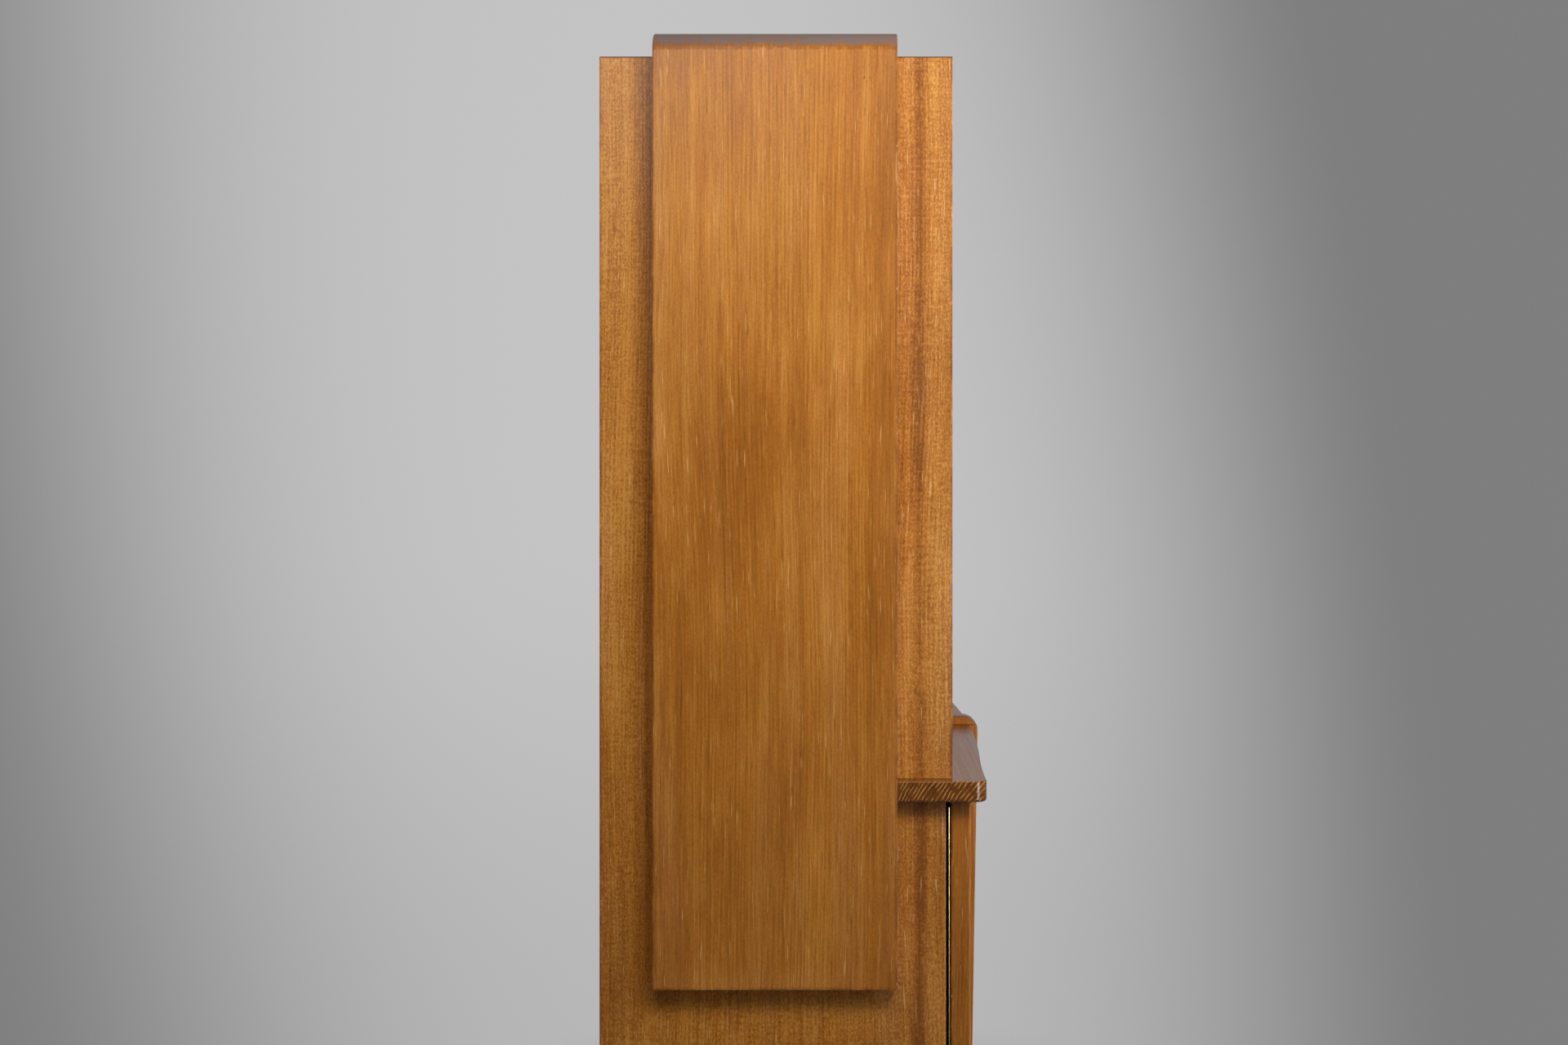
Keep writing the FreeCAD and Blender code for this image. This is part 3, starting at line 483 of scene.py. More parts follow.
def shelf_elm(node_name, pith_y, pith_z, seed):
    """Solid elm with its rings about a pith outside the board, so that end grain shows on its ends."""
    material, graph, shader, place = new_material("elm_" + node_name)
    normal = graph.add("ShaderNodeNewGeometry").outputs["Normal"]
    facing = graph.math("ABSOLUTE", graph.axes(normal)[0])
    on_end = graph.stretch(facing, *END_FACING, *END_STRENGTHS)
    broken = graph.stretch(graph.noise(place, *SHELF_BREAKS), *BREAK_RANGE, *BREAK_STRENGTHS)
    pale = pale_rings(graph, place, pith_y, pith_z)
    rings = graph.math("MULTIPLY", pale, graph.math("MULTIPLY", on_end, broken))
    spread = graph.noise(place, *SHELF_SPREAD)
    fibres = grain_noise(graph, along_grain(graph, place, "x", seed), SHELF_FIBRES)
    clouds = graph.noise(place, *SHELF_CLOUDS)
    value = weighted(graph, zip((rings, spread, fibres, clouds), SHELF_WEIGHTS), SHELF_TONE)
    edge = graph.stretch(edge_distance(graph, place, node_name), *RUBBED_REACH, 0.0, RUBBED_DEPTH)
    colour = graph.tint("MIX", edge, graph.ramp(value, SHELF_STOPS), SHELF_RUBBED)
    graph.feed(shader.inputs["Base Color"], colour)
    polish = graph.stretch(facing, *END_POLISHED, *END_ROUGHNESS)
    graph.feed(shader.inputs["Roughness"], weighted(graph, zip((clouds, fibres), SHELF_POLISH), polish))
    shader.inputs["Specular IOR Level"].default_value = SHELF_SPECULAR
    set_relief(graph, shader, value, SHELF_RELIEF, SHELF_RELIEF_DEPTH)
    return material


# Wood of the inside

PLAIN_WOODS = {
    "inner_wood": ((0.26, 0.135, 0.055), (0.47, 0.285, 0.135), (0.62, 0.43, 0.245)),
    "plywood": ((0.30, 0.18, 0.085), (0.50, 0.34, 0.185), (0.62, 0.46, 0.285)),
}
PLAIN_PLACES = (0.15, 0.5, 0.85)
PLAIN_STRIPES = (14.0, 0.8, 3.0)
PLAIN_LINES = (130.0, 1.7, 2.0)
PLAIN_FIBRES = (520.0, 16.0, 2.0)
PLAIN_CLOUDS = (4.0, 3.0, 3.0)
PLAIN_WEIGHTS = (0.7, 0.5, 0.4, 0.4)
PLAIN_TONE = 0.5
PLAIN_FLECKS = (260.0, 11.0, 1.0)
FLECK_RANGE = (0.36, 0.27)
FLECK_DEPTH = 0.4
PLAIN_EDGE = 3.0 * MM
PLAIN_EDGE_DEPTH = 0.3
PLAIN_ROUGHNESS = 0.58
PLAIN_POLISH = (0.2, 0.2)
PLAIN_RELIEF = 0.2
PLAIN_RELIEF_DEPTH = 0.25 * MM


def plain_wood(node_name, slot, axis, seed):
    """Thinly finished inside wood: quiet grain, a few darker flecks and slightly darker edges."""
    material, graph, shader, place = new_material(slot + "_" + node_name)
    grain = along_grain(graph, place, axis, seed)
    looks = (PLAIN_STRIPES, PLAIN_LINES, PLAIN_FIBRES, PLAIN_CLOUDS)
    figure = [grain_noise(graph, grain, look) for look in looks]
    _, _, fibres, clouds = figure
    shades = PLAIN_WOODS[slot]
    dark = shades[0]
    value = weighted(graph, zip(figure, PLAIN_WEIGHTS), PLAIN_TONE)
    colour = graph.ramp(value, tuple(zip(PLAIN_PLACES, shades)))
    fleck = graph.stretch(grain_noise(graph, grain, PLAIN_FLECKS), *FLECK_RANGE, 0.0, FLECK_DEPTH)
    colour = graph.tint("MIX", fleck, colour, dark)
    near = edge_distance(graph, place, node_name)
    colour = graph.tint("MIX", graph.stretch(near, PLAIN_EDGE, 0.0, 0.0, PLAIN_EDGE_DEPTH), colour, dark)
    graph.feed(shader.inputs["Base Color"], colour)
    polish = weighted(graph, zip((clouds, fibres), PLAIN_POLISH), PLAIN_ROUGHNESS)
    graph.feed(shader.inputs["Roughness"], polish)
    set_relief(graph, shader, fibres, PLAIN_RELIEF, PLAIN_RELIEF_DEPTH)
    return material


# Metal and plastic

# Painted shade on a hinge's outer edge, and the line left clear of it where the highlight falls
HINGE_SHADE = (0.020, 0.012, 0.006)
HINGE_SHADE_REACH = 2.2 * MM
HINGE_SHADE_FADE = 0.4 * MM
LIT_LINE_AHEAD = 1.3 * MM
LIT_LINE_HALF = 0.55 * MM


def shaded_with_lit_line(graph, place, colour, pin):
    """Colour with painted shade on the outer edge of a hinge, left clear along one line of its eyes where the
    lamp's highlight falls.
    """
    x, y, _ = graph.axes(place)
    edge = abs(pin.x) - HINGE_SHADE_REACH
    outer = graph.stretch(graph.math("ABSOLUTE", x), edge - HINGE_SHADE_FADE, edge)
    aside = graph.math("ABSOLUTE", graph.math("SUBTRACT", y, pin.y - LIT_LINE_AHEAD))
    dark = graph.stretch(aside, LIT_LINE_HALF, LIT_LINE_HALF + HINGE_SHADE_FADE)
    return graph.tint("MIX", graph.math("MULTIPLY", outer, dark), colour, HINGE_SHADE)


FILM = ((60.0, 60.0, 60.0), 4.0, 0.6)
SCRATCHES = 900.0
SCRATCH_LENGTH = 20
DULL_WEIGHTS = (1.0, 0.3)
DULL_RANGE = (0.38, 0.68)
METAL_POLISH = (0.35, 0.25)
METAL_RELIEF = 0.12
METAL_RELIEF_DEPTH = 0.1 * MM


def worn_metal(
    name, bright, tarnish, rough, metallic=1.0, scratches=SCRATCHES, relief=METAL_RELIEF, pin=None
):
    """Metal or plastic with a duller film in patches, fine scratches and a soft unevenness."""
    material, graph, shader, place = new_material(name)
    film = graph.noise(place, *FILM)
    scratch = graph.noise(place, (scratches, scratches, scratches / SCRATCH_LENGTH))
    dull = weighted(graph, zip((film, scratch), DULL_WEIGHTS), NOISE_MEAN)
    colour = graph.ramp(graph.stretch(dull, *DULL_RANGE), ((0.0, bright), (1.0, tarnish)))
    # A pin adds painted shade on the outer edge of a hinge, all but one line
    if pin:
        colour = shaded_with_lit_line(graph, place, colour, pin)
    graph.feed(shader.inputs["Base Color"], colour)
    graph.feed(shader.inputs["Roughness"], weighted(graph, zip((film, scratch), METAL_POLISH), rough))
    shader.inputs["Metallic"].default_value = metallic
    set_relief(graph, shader, scratch, relief, METAL_RELIEF_DEPTH)
    return material


BRASS = ((0.90, 0.70, 0.36), (0.50, 0.33, 0.12), 0.24)
STEEL = ((0.56, 0.56, 0.55), (0.30, 0.29, 0.28), 0.36)
BLACK = ((0.030, 0.030, 0.031), (0.055, 0.053, 0.050), 0.55)
SHADED_BRASS_RELIEF = 0.02
BLACK_SCRATCHES = 1600.0
LEFT_PIN = Vector(joints["lower_door_left_swing"]["pos_m"])
brass = worn_metal("aged_brass", *BRASS)
# Brass with painted shade on its outer edge, for the lower hinges
shaded_brass = worn_metal("shaded_brass", *BRASS, relief=SHADED_BRASS_RELIEF, pin=LEFT_PIN)
steel = worn_metal("rolled_steel", *STEEL)
black_case = worn_metal("black_case", *BLACK, metallic=0.0, scratches=BLACK_SCRATCHES)


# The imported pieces: soft edges and their own finish

WELD_REACH = 0.005 * MM
ARRIS = 0.6 * MM
ARRIS_STEPS = 2
SOFT_ANGLE = math.radians(35)


def soften(obj):
    """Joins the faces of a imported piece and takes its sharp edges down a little."""
    weld = obj.modifiers.new("weld", "WELD")
    weld.merge_threshold = WELD_REACH
    edge = obj.modifiers.new("arris", "BEVEL")
    edge.width = ARRIS
    edge.segments = ARRIS_STEPS
    edge.limit_method = "ANGLE"
    edge.angle_limit = SOFT_ANGLE


DARK_STRIPE_BEHIND = 40.0 * MM
PANEL_JOINT_DROP = 0.8 * MM
PANEL_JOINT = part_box("side_panel_left")[1].z - PANEL_JOINT_DROP
SHELF_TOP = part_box("waist_shelf")[1].z
# The side panels get painted light that pales their front strip
ELM_NODES = {
    "side_panel": dict(
        axis="z", tone=0.60, flake=1.05, contrast=1.4, ripple=0.35,
        dark_stripe=DARK_STRIPE_BEHIND, fade=0.35, painted_front_light=1.0, joint=PANEL_JOINT,
    ),
    "band": dict(axis="z", tone=0.52, flake=0.35, contrast=1.3, fade=0.8),
    "door_upper": dict(axis="z", tone=0.52, flake=0.30, contrast=1.1, ripple=0.10),
    "door_lower": dict(axis="z", tone=0.50, flake=0.30, contrast=1.1, ripple=0.10),
    "pull_lower": dict(axis="z", tone=0.40),
}
SINGLE_ELM_NODES = {
    "band_top": dict(axis="x", tone=0.53, fade=0.8),
    "top_board": dict(axis="x", tone=0.48, flake=0.40, ripple=0.15),
    "front_pilaster": dict(axis="z", tone=0.46, joint=SHELF_TOP),
    "upper_sill": dict(axis="x", tone=0.46),
}
PLAIN_AXES = {
    "x": ("bottom_board", "plinth_front", "plinth_back", "upper_door_stops"),
    "y": ("plinth_left", "plinth_right", "upper_cleats", "lower_cleats"),
    "z": ("upper_partition", "lower_partition", "centre_backing", "plinth_blocks"),
}
PITH_AHEAD = 225.0 * MM
PITH_BELOW = 105.0 * MM
METALS = {"brass": brass, "steel": steel, "black_case": black_case}


def slot_of(node):
    """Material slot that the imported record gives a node."""
    return next(row["material_slot"] for row in frame["record"]["subparts"] if row["node"] == node)


def dress_boards():
    """Gives each board a wood of its own, with its grain along the board."""
    seed = 1
    for name, looks in ELM_NODES.items():
        for side in SIDES:
            node = f"{name}_{side}"
            dress(nodes[node], elm(node, seed, **looks))
            seed += 1
    for node, looks in SINGLE_ELM_NODES.items():
        dress(nodes[node], elm(node, seed, **looks))
        seed += 1
    pith_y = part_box("band_left")[0].y - PITH_AHEAD
    pith_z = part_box("waist_shelf")[0].z - PITH_BELOW
    dress(nodes["waist_shelf"], shelf_elm("waist_shelf", pith_y, pith_z, seed))
    shelves = tuple(name for name in sorted(nodes) if "_shelf_" in name)
    for axis, names in PLAIN_AXES.items():
        for node in names + (shelves if axis == "x" else ()):
            seed += 1
            dress(nodes[node], plain_wood(node, "inner_wood", axis, seed))
    for node in BACK_PANELS:
        seed += 1
        dress(nodes[node], plain_wood(node, "plywood", "z", seed))


def dress_metals():
    """Gives each fitting its metal or plastic."""
    for name, obj in nodes.items():
        if slot_of(name) in METALS:
            dress(obj, METALS[slot_of(name)])


dress_boards()
dress_metals()
for packed in nodes.values():
    soften(packed)


# Hardware

LATHE_STEPS = 24


def mesh_object(name, build, material, body):
    """New piece from a function that fills a bmesh, smooth but for its sharp edges, on a body."""
    shape = bmesh.new()
    build(shape)
    bmesh.ops.recalc_face_normals(shape, faces=shape.faces)
    mesh = bpy.data.meshes.new(name)
    shape.to_mesh(mesh)
    shape.free()
    mesh.shade_smooth()
    mesh.set_sharp_from_angle(angle=SOFT_ANGLE)
    obj = bpy.data.objects.new(name, mesh)
    bpy.context.scene.collection.objects.link(obj)
    dress(obj, material)
    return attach(obj, body)


def skin(shape, rings):
    """Closed skin over rings of points, capped at both ends."""
    rows = [[shape.verts.new(point) for point in ring] for ring in rings]
    for low, high in zip(rows, rows[1:]):
        for index in range(len(low)):
            after = (index + 1) % len(low)
            shape.faces.new((low[index], low[after], high[after], high[index]))
    shape.faces.new(rows[0][::-1])
    shape.faces.new(rows[-1])


def lathe(shape, centre, axis, profile, count=LATHE_STEPS):
    """Turned form: each (distance along the axis, radius) of the profile is one ring."""
    turn = Vector(axis).to_track_quat("Z", "Y").to_matrix()
    angles = [FULL_TURN * step / count for step in range(count)]
    rings = []
    for along, radius in profile:
        points = [Vector((radius * math.cos(a), radius * math.sin(a), along)) for a in angles]
        rings.append([Vector(centre) + turn @ point for point in points])
    skin(shape, rings)


def block(shape, low, high, clip):
    """Box between two corners with a clipped rim at its top and bottom and along its uprights."""
    (x0, y0, z0), (x1, y1, z1) = low, high
    rings = []
    for z, inset in ((z0, clip), (z0 + clip, 0.0), (z1 - clip, 0.0), (z1, clip)):
        a, b, c, d = x0 + inset, x1 - inset, y0 + inset, y1 - inset
        outline = [(a + clip, c), (b - clip, c), (b, c + clip), (b, d - clip)]
        outline += [(b - clip, d), (a + clip, d), (a, d - clip), (a, c + clip)]
        rings.append([Vector((x, y, z)) for x, y in outline])
    skin(shape, rings)


# Slotted screws, with the rings of the head and of its slot's floor as shares of its height and radius
SCREW_RADIUS = 2.7 * MM
SCREW_PROUD = 0.22 * MM
SCREW_SLOT = 0.75 * MM
SCREW_STEPS = 12
SCREW_HEAD = ((-1.0, 1.0), (0.6, 1.0), (1.0, 0.93))
SCREW_FLOOR = ((-1.0, 0.96), (0.2, 0.96))


def screw_head(shape, centre, axis, radius=SCREW_RADIUS, tilt=0.0):
    """Slotted head: two halves with a gap between them, over a lower disc."""
    turn = Vector(axis).to_track_quat("Z", "Y").to_matrix() @ Matrix.Rotation(tilt, 3, "Z")
    start = math.asin(SCREW_SLOT / 2 / radius)
    sweep = math.pi - 2 * start
    for half in (0.0, math.pi):
        angles = [half + start + sweep * step / SCREW_STEPS for step in range(SCREW_STEPS + 1)]
        rings = []
        for height, size in SCREW_HEAD:
            along = SCREW_PROUD * height
            points = [(radius * size * math.cos(a), radius * size * math.sin(a), along) for a in angles]
            rings.append([Vector(centre) + turn @ Vector(point) for point in points])
        skin(shape, rings)
    lathe(shape, centre, axis, [(SCREW_PROUD * height, radius * size) for height, size in SCREW_FLOOR])


# Piano hinges, with their real short knuckles

KNUCKLE_RADIUS = 2.0 * MM
KNUCKLE_PITCH = 10.0 * MM
KNUCKLE_GAP = 0.2 * MM
KNUCKLE_CLIP = 0.12 * MM
KNUCKLE_STEPS = 18
KNUCKLE_SWEEP = -1.5 * math.pi
LEAF_NEAR = 2.15 * MM
LEAF_FAR = 3.15 * MM
LEAF_WIDTH = 15.0 * MM
LEAF_CLIP = 0.15 * MM
SCREW_PITCH = 75.0 * MM
SCREW_ALONG = 8.6 * MM
SCREW_TURN = 0.9


def knuckle_outline(inset):
    """Rolled eye and the tab that joins it to its leaf, as (along, across) points."""
    radius = KNUCKLE_RADIUS - inset
    angles = [KNUCKLE_SWEEP * step / KNUCKLE_STEPS for step in range(KNUCKLE_STEPS + 1)]
    arc = [(radius * math.cos(a), radius * math.sin(a)) for a in angles]
    return arc + [(0.0, LEAF_FAR - inset), (radius, LEAF_FAR - inset)]


def hinge_leaf(level, kind, side):
    """Leaf of a piano hinge: plate and every other knuckle, with its row of screws."""
    node = f"hinge_{level}_{kind}_leaf_{side}"
    pin = Vector(joints[f"{level}_door_{side}_swing"]["pos_m"])
    inward = 1 if side == "left" else -1
    towards_door = kind == "door"
    if level == "lower":
        along = Vector((inward, 0, 0))
        across = Vector((0, -1 if towards_door else 1, 0))
    else:
        along = Vector((0, 1, 0))
        across = Vector((inward if towards_door else -inward, 0, 0))
    low, high = (corner.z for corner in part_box(node))
    count = round((high - low) / KNUCKLE_PITCH)
    pitch = (high - low) / count
    body = f"{level}_door_{side}" if towards_door else "carcase"

    def place(point, z):
        return Vector((pin.x, pin.y, z)) + along * point[0] + across * point[1]

    def build(shape):
        plate = [(0.0, LEAF_NEAR), (LEAF_WIDTH - LEAF_CLIP, LEAF_NEAR), (LEAF_WIDTH, LEAF_NEAR + LEAF_CLIP)]
        plate += [(LEAF_WIDTH, LEAF_FAR), (0.0, LEAF_FAR)]
        skin(shape, [[place(point, z) for point in plate] for z in (low, high)])
        for index in range(1 if towards_door else 0, count, 2):
            foot = low + index * pitch + KNUCKLE_GAP / 2
            head = foot + pitch - KNUCKLE_GAP
            rims = [(foot, KNUCKLE_CLIP), (foot + KNUCKLE_CLIP, 0.0)]
            rims += [(head - KNUCKLE_CLIP, 0.0), (head, KNUCKLE_CLIP)]
            skin(shape, [[place(point, z) for point in knuckle_outline(inset)] for z, inset in rims])

    def screws(shape):
        number = int((high - low) / SCREW_PITCH)
        for index in range(number):
            z = low + (index + 0.5) * (high - low) / number
            screw_head(shape, place((SCREW_ALONG, LEAF_NEAR), z), -across, tilt=SCREW_TURN * index)

    # The lower hinges take the brass with painted shade on their outer edge
    finish = shaded_brass if level == "lower" else brass
    leaf = mesh_object(f"piano_{level}_{kind}_leaf_{side}", build, finish, body)
    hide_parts(node)
    mesh_object(f"piano_{level}_{kind}_screws_{side}", screws, brass, body)


# Keys

BOW_WIRE = 2.3 * MM
BOW_FLAT = 0.86
BOW_STEPS = 40
WIRE_FLAT = 0.85
WIRE_STEPS = 12
SHANK_RADIUS = 2.5 * MM
SHANK_NECK = ((0.0, 0.9), (1.0 * MM, 1.0), (4.0 * MM, 1.0))
SHANK_TIP = ((-0.6 * MM, 1.0), (0.0, 0.8))
COLLARS = (5.0 * MM, 8.5 * MM)
COLLAR = 1.3 * MM
COLLAR_FORM = ((0.0, 0.0), (0.4 * MM, COLLAR), (1.4 * MM, COLLAR), (1.8 * MM, 0.0))
BIT_HALF = 1.2 * MM
BIT_DROP = 11.0 * MM
BIT_LENGTH = 5.0 * MM
BIT_CLIP = 0.15 * MM
BIT_STEPS = ((0.0, 1.7 * MM, 1.0), (1.7 * MM, 2.4 * MM, 0.72), (2.4 * MM, BIT_LENGTH, 1.0))


def shank_profile(length):
    """Turned shank from its neck to its tip, with two collars."""
    profile = [(along, SHANK_RADIUS * size) for along, size in SHANK_NECK]
    for start in COLLARS:
        profile += [(start + along, SHANK_RADIUS + rise) for along, rise in COLLAR_FORM]
    return profile + [(length + along, SHANK_RADIUS * size) for along, size in SHANK_TIP]


def ring_of_wire(shape, centre, radius):
    """Oval ring in the plane of the shank and the upright, shorter along the shank, of flattened wire."""
    rows = []
    for step in range(BOW_STEPS):
        angle = FULL_TURN * step / BOW_STEPS
        out = Vector((0, math.cos(angle), math.sin(angle)))
        oval = Vector((0, BOW_FLAT * out.y, out.z)) * radius
        row = []
        for turn in range(WIRE_STEPS):
            around = FULL_TURN * turn / WIRE_STEPS
            aside = Vector((WIRE_FLAT * BOW_WIRE * math.sin(around), 0, 0))
            row.append(shape.verts.new(centre + oval + (out * BOW_WIRE * math.cos(around) + aside)))
        rows.append(row)
    for row, following in zip(rows, rows[1:] + rows[:1]):
        for index in range(WIRE_STEPS):
            after = (index + 1) % WIRE_STEPS
            shape.faces.new((row[index], row[after], following[after], following[index]))


def key_piece(side):
    """Key with a turned shank, an oval ring for a bow and a bit with one cut."""
    node = f"key_{side}"
    low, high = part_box(node)
    axis = Vector(joints[f"key_{side}_turn"]["pos_m"])
    bow_radius = high.z - axis.z
    ring_radius = bow_radius - BOW_WIRE
    neck = low.y + bow_radius + ring_radius
    tip = high.y
    bow = Vector((axis.x, neck - ring_radius * BOW_FLAT, axis.z))

    def build(shape):
        lathe(shape, (axis.x, neck, axis.z), (0, 1, 0), shank_profile(tip - neck))
        ring_of_wire(shape, bow, ring_radius)
        for start, end, reach in BIT_STEPS:
            front = tip - BIT_LENGTH + start
            back = tip - BIT_LENGTH + end
            foot = axis.z - BIT_DROP * reach
            block(shape, (axis.x - BIT_HALF, front, foot), (axis.x + BIT_HALF, back, axis.z), BIT_CLIP)

    piece = mesh_object(f"turned_key_{side}", build, brass, f"key_{side}")
    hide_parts(node)


# Pins, rivets and screws

DOME = ((-0.3, 1.0), (0.0, 1.0), (0.35, 0.9), (0.7, 0.6), (0.85, 0.25))
DOME_STEPS = 16
PIN_INSET = 3.5 * MM
PIN_RADIUS = 1.3 * MM
RIVET_INSET = 5.0 * MM
RIVET_RADIUS = 1.8 * MM


def dome(shape, centre, axis, radius):
    """Low round head of a pin or rivet."""
    lathe(shape, centre, axis, [(height * radius, size * radius) for height, size in DOME], DOME_STEPS)


def lock_furniture(side):
    """Pins of the keyhole plate and rivets of the lock's case."""
    low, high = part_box(f"escutcheon_{side}")
    middle = (low.x + high.x) / 2
    case_low, case_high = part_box(f"lock_case_{side}")

    def pins(shape):
        for z in (low.z + PIN_INSET, high.z - PIN_INSET):
            dome(shape, (middle, low.y, z), (0, -1, 0), PIN_RADIUS)

    def rivets(shape):
        for x in (case_low.x + RIVET_INSET, case_high.x - RIVET_INSET):
            for z in (case_low.z + RIVET_INSET, case_high.z - RIVET_INSET):
                dome(shape, (x, case_high.y, z), (0, 1, 0), RIVET_RADIUS)

    mesh_object(f"escutcheon_pins_{side}", pins, brass, f"upper_door_{side}")
    mesh_object(f"lock_rivets_{side}", rivets, steel, f"upper_door_{side}")


BACK_SCREW_PITCH = 170.0 * MM
BACK_SCREW_INSET = 13.0 * MM
BACK_SCREW_RADIUS = 3.2 * MM
BACK_SCREW_SINK = 0.7 * SCREW_PROUD
BACK_SCREW_TURN = 0.7


def back_screws():
    """Countersunk screws round the rims of both back panels."""

    def build(shape):
        for node in BACK_PANELS:
            low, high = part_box(node)
            x0, x1 = low.x + BACK_SCREW_INSET, high.x - BACK_SCREW_INSET
            z0, z1 = low.z + BACK_SCREW_INSET, high.z - BACK_SCREW_INSET
            across = round((x1 - x0) / BACK_SCREW_PITCH)
            up = round((z1 - z0) / BACK_SCREW_PITCH)
            places = [(x0 + (x1 - x0) * n / across, z) for n in range(across + 1) for z in (z0, z1)]
            places += [(x, z0 + (z1 - z0) * n / up) for n in range(1, up) for x in (x0, x1)]
            for index, (x, z) in enumerate(places):
                centre = (x, high.y - BACK_SCREW_SINK, z)
                screw_head(shape, centre, (0, 1, 0), BACK_SCREW_RADIUS, BACK_SCREW_TURN * index)

    mesh_object("back_panel_screws", build, steel, "carcase")


for side in SIDES:
    for level in ("lower", "upper"):
        for kind in ("carcase", "door"):
            hinge_leaf(level, kind, side)
    key_piece(side)
    lock_furniture(side)
back_screws()


# Studio

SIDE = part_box("side_panel_left")[0]
CAMERA_AWAY = 1.926
CAMERA_BEHIND_FRONT = 0.1173
CAMERA_HEIGHT = 1.1927
CAMERA_LENS = 36.17
CAMERA_SENSOR = 36.0
CAMERA_SHIFT = -0.04635
FILL = 0.084
BACKGROUND_CENTRE = 0.10
BACKGROUND_LEAN = 0.14
BACKGROUND_RIGHT = 1.15
BACKGROUND_FLATTEN = 0.35
BACKGROUND_REACH = 0.885
BACKGROUND_DARK = 0.21
BACKGROUND_LIGHT = 0.55
BACKGROUND_LOW = 0.80
BACKGROUND_FOOT = -0.30
BACKGROUND_FOOT_LIGHT = BACKGROUND_DARK + BACKGROUND_LOW * (BACKGROUND_LIGHT - BACKGROUND_DARK)


def seen_directly(graph):
    """One for rays from the camera, mirrors and glass, nought for light that falls on a surface."""
    path = graph.add("ShaderNodeLightPath").outputs
    shown = graph.math("MAXIMUM", path["Is Camera Ray"], path["Is Glossy Ray"])
    return graph.math("MAXIMUM", shown, path["Is Transmission Ray"])


def make_world():
    """Grey backdrop, lightest behind the press, and an even fill for the light on surfaces."""
    world = bpy.data.worlds.new("studio")
    world.use_nodes = True
    bpy.context.scene.world = world
    graph = Graph(world.node_tree)
    x, y, z = graph.axes(graph.add("ShaderNodeTexCoord").outputs["Generated"])
    lean = graph.math("MULTIPLY", z, BACKGROUND_LEAN)
    middle = graph.math("ADD", graph.math("MULTIPLY", x, BACKGROUND_CENTRE), lean)
    aside = graph.math("SUBTRACT", y, middle)
    aside = graph.math("MINIMUM", aside, graph.math("MULTIPLY", aside, BACKGROUND_RIGHT))
    flat = graph.join(x, aside, graph.math("MULTIPLY", z, BACKGROUND_FLATTEN))
    ahead = graph.axes(graph.vector("NORMALIZE", flat))[0]
    peak = graph.stretch(z, BACKGROUND_FOOT, 0.0, BACKGROUND_FOOT_LIGHT, BACKGROUND_LIGHT)
    glow = graph.stretch(ahead, BACKGROUND_REACH, 1.0, BACKGROUND_DARK, peak)
    inputs = {"Factor": seen_directly(graph), "A": FILL, "B": glow}
    shade = graph.add("ShaderNodeMix", inputs, data_type="FLOAT")
    graph.feed(world.node_tree.nodes["Background"].inputs["Color"], shade.outputs[0])


FLOOR_RADIUS = 3.0
FLOOR_STEPS = 96
FLOOR_SOLID = 0.75
FLOOR_GONE = 1.40
FLOOR_MOTTLE = ((3.0, 3.0, 3.0), 3.0)
FLOOR_STOPS = ((0.3, (0.40, 0.40, 0.40)), (0.7, (0.44, 0.44, 0.44)))
FLOOR_ROUGHNESS = 0.9
FLOOR_SPECULAR = 0.1


def make_floor():
    """Pale round floor that fades out into the backdrop."""
    bpy.ops.mesh.primitive_circle_add(vertices=FLOOR_STEPS, radius=FLOOR_RADIUS, fill_type="NGON")
    floor = bpy.context.object
    floor.name = "studio_floor"
    material, graph, shader, place = new_material("studio_floor")
    graph.feed(shader.inputs["Base Color"], graph.ramp(graph.noise(place, *FLOOR_MOTTLE), FLOOR_STOPS))
    shader.inputs["Roughness"].default_value = FLOOR_ROUGHNESS
    shader.inputs["Specular IOR Level"].default_value = FLOOR_SPECULAR
    fading = graph.stretch(graph.length(place), FLOOR_SOLID, FLOOR_GONE, 1.0, 0.0)
    graph.feed(shader.inputs["Alpha"], fading)
    floor.data.materials.append(material)


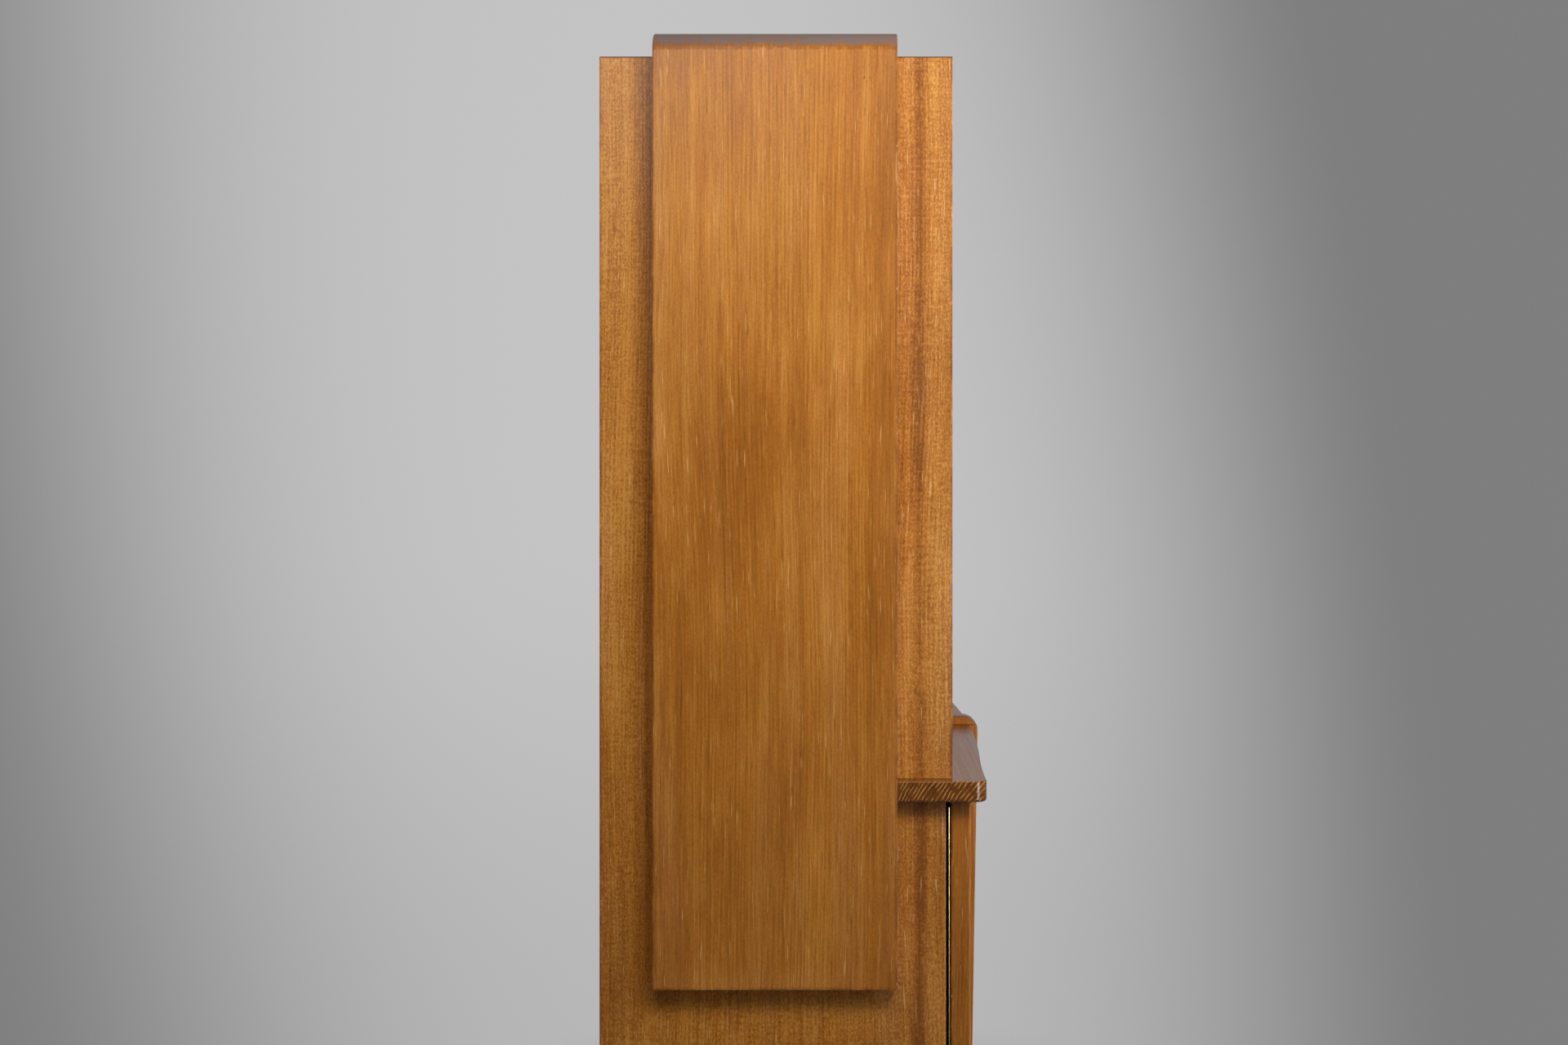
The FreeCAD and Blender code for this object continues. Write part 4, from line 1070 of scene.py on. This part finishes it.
# Each lamp's name, place, target, size and power, whether gloss shows it and whether it lights matt faces
LIGHTS = (
    ("key", (SIDE.x - 1.06, -0.58, 2.02), (SIDE.x, 0.0, 1.45), (0.7, 0.7), 14.9, False),
    ("crown", (SIDE.x - 1.10, 0.28, 2.10), (SIDE.x, 0.10, 1.55), (0.42, 0.36), 3.8),
    ("sheen", (SIDE.x - 1.10, 0.36, 2.20), (SIDE.x, 0.15, 1.65), (0.8, 0.4), 11.0, True, False),
    ("card", (SIDE.x - 1.24, -1.13, 0.98), (SIDE.x, -0.24, 0.88), (0.45, 1.2), 24.0, True, False),
    ("low", (SIDE.x - 0.80, -1.35, 1.30), (SIDE.x, -0.22, 0.95), (0.5, 0.7), 5.0, False),
    ("front", (0.4, -3.2, 2.4), (0.0, 0.0, 1.0), (2.2, 1.6), 70.0),
    ("right", (3.0, -0.4, 2.4), (0.6, 0.0, 1.0), (1.6, 1.6), 45.0, False),
    ("back", (0.2, 3.2, 2.4), (0.0, 0.2, 1.0), (2.2, 1.6), 60.0, False),
)


def make_light(name, place, target, size, power, mirrored=True, lit=True):
    """Soft rectangular lamp, unseen by the camera."""
    data = bpy.data.lights.new(name, "AREA")
    data.shape = "RECTANGLE"
    data.size, data.size_y = size
    data.energy = power
    light = bpy.data.objects.new(name, data)
    light.location = place
    light.rotation_euler = (Vector(target) - Vector(place)).to_track_quat("-Z", "Y").to_euler()
    light.visible_camera = False
    light.visible_glossy = mirrored
    light.visible_diffuse = lit
    bpy.context.scene.collection.objects.link(light)


def make_camera():
    """Level camera opposite the left side, as in the photograph."""
    data = bpy.data.cameras.new("camera")
    data.lens = CAMERA_LENS
    data.sensor_width = CAMERA_SENSOR
    data.shift_x = CAMERA_SHIFT
    camera = bpy.data.objects.new("camera", data)
    camera.location = (SIDE.x - CAMERA_AWAY, SIDE.y + CAMERA_BEHIND_FRONT, CAMERA_HEIGHT)
    camera.rotation_euler = (math.radians(90), 0, math.radians(-90))
    bpy.context.scene.collection.objects.link(camera)
    bpy.context.scene.camera = camera


make_world()
make_floor()
for light in LIGHTS:
    make_light(*light)
make_camera()
bpy.context.scene.view_settings.view_transform = "Standard"
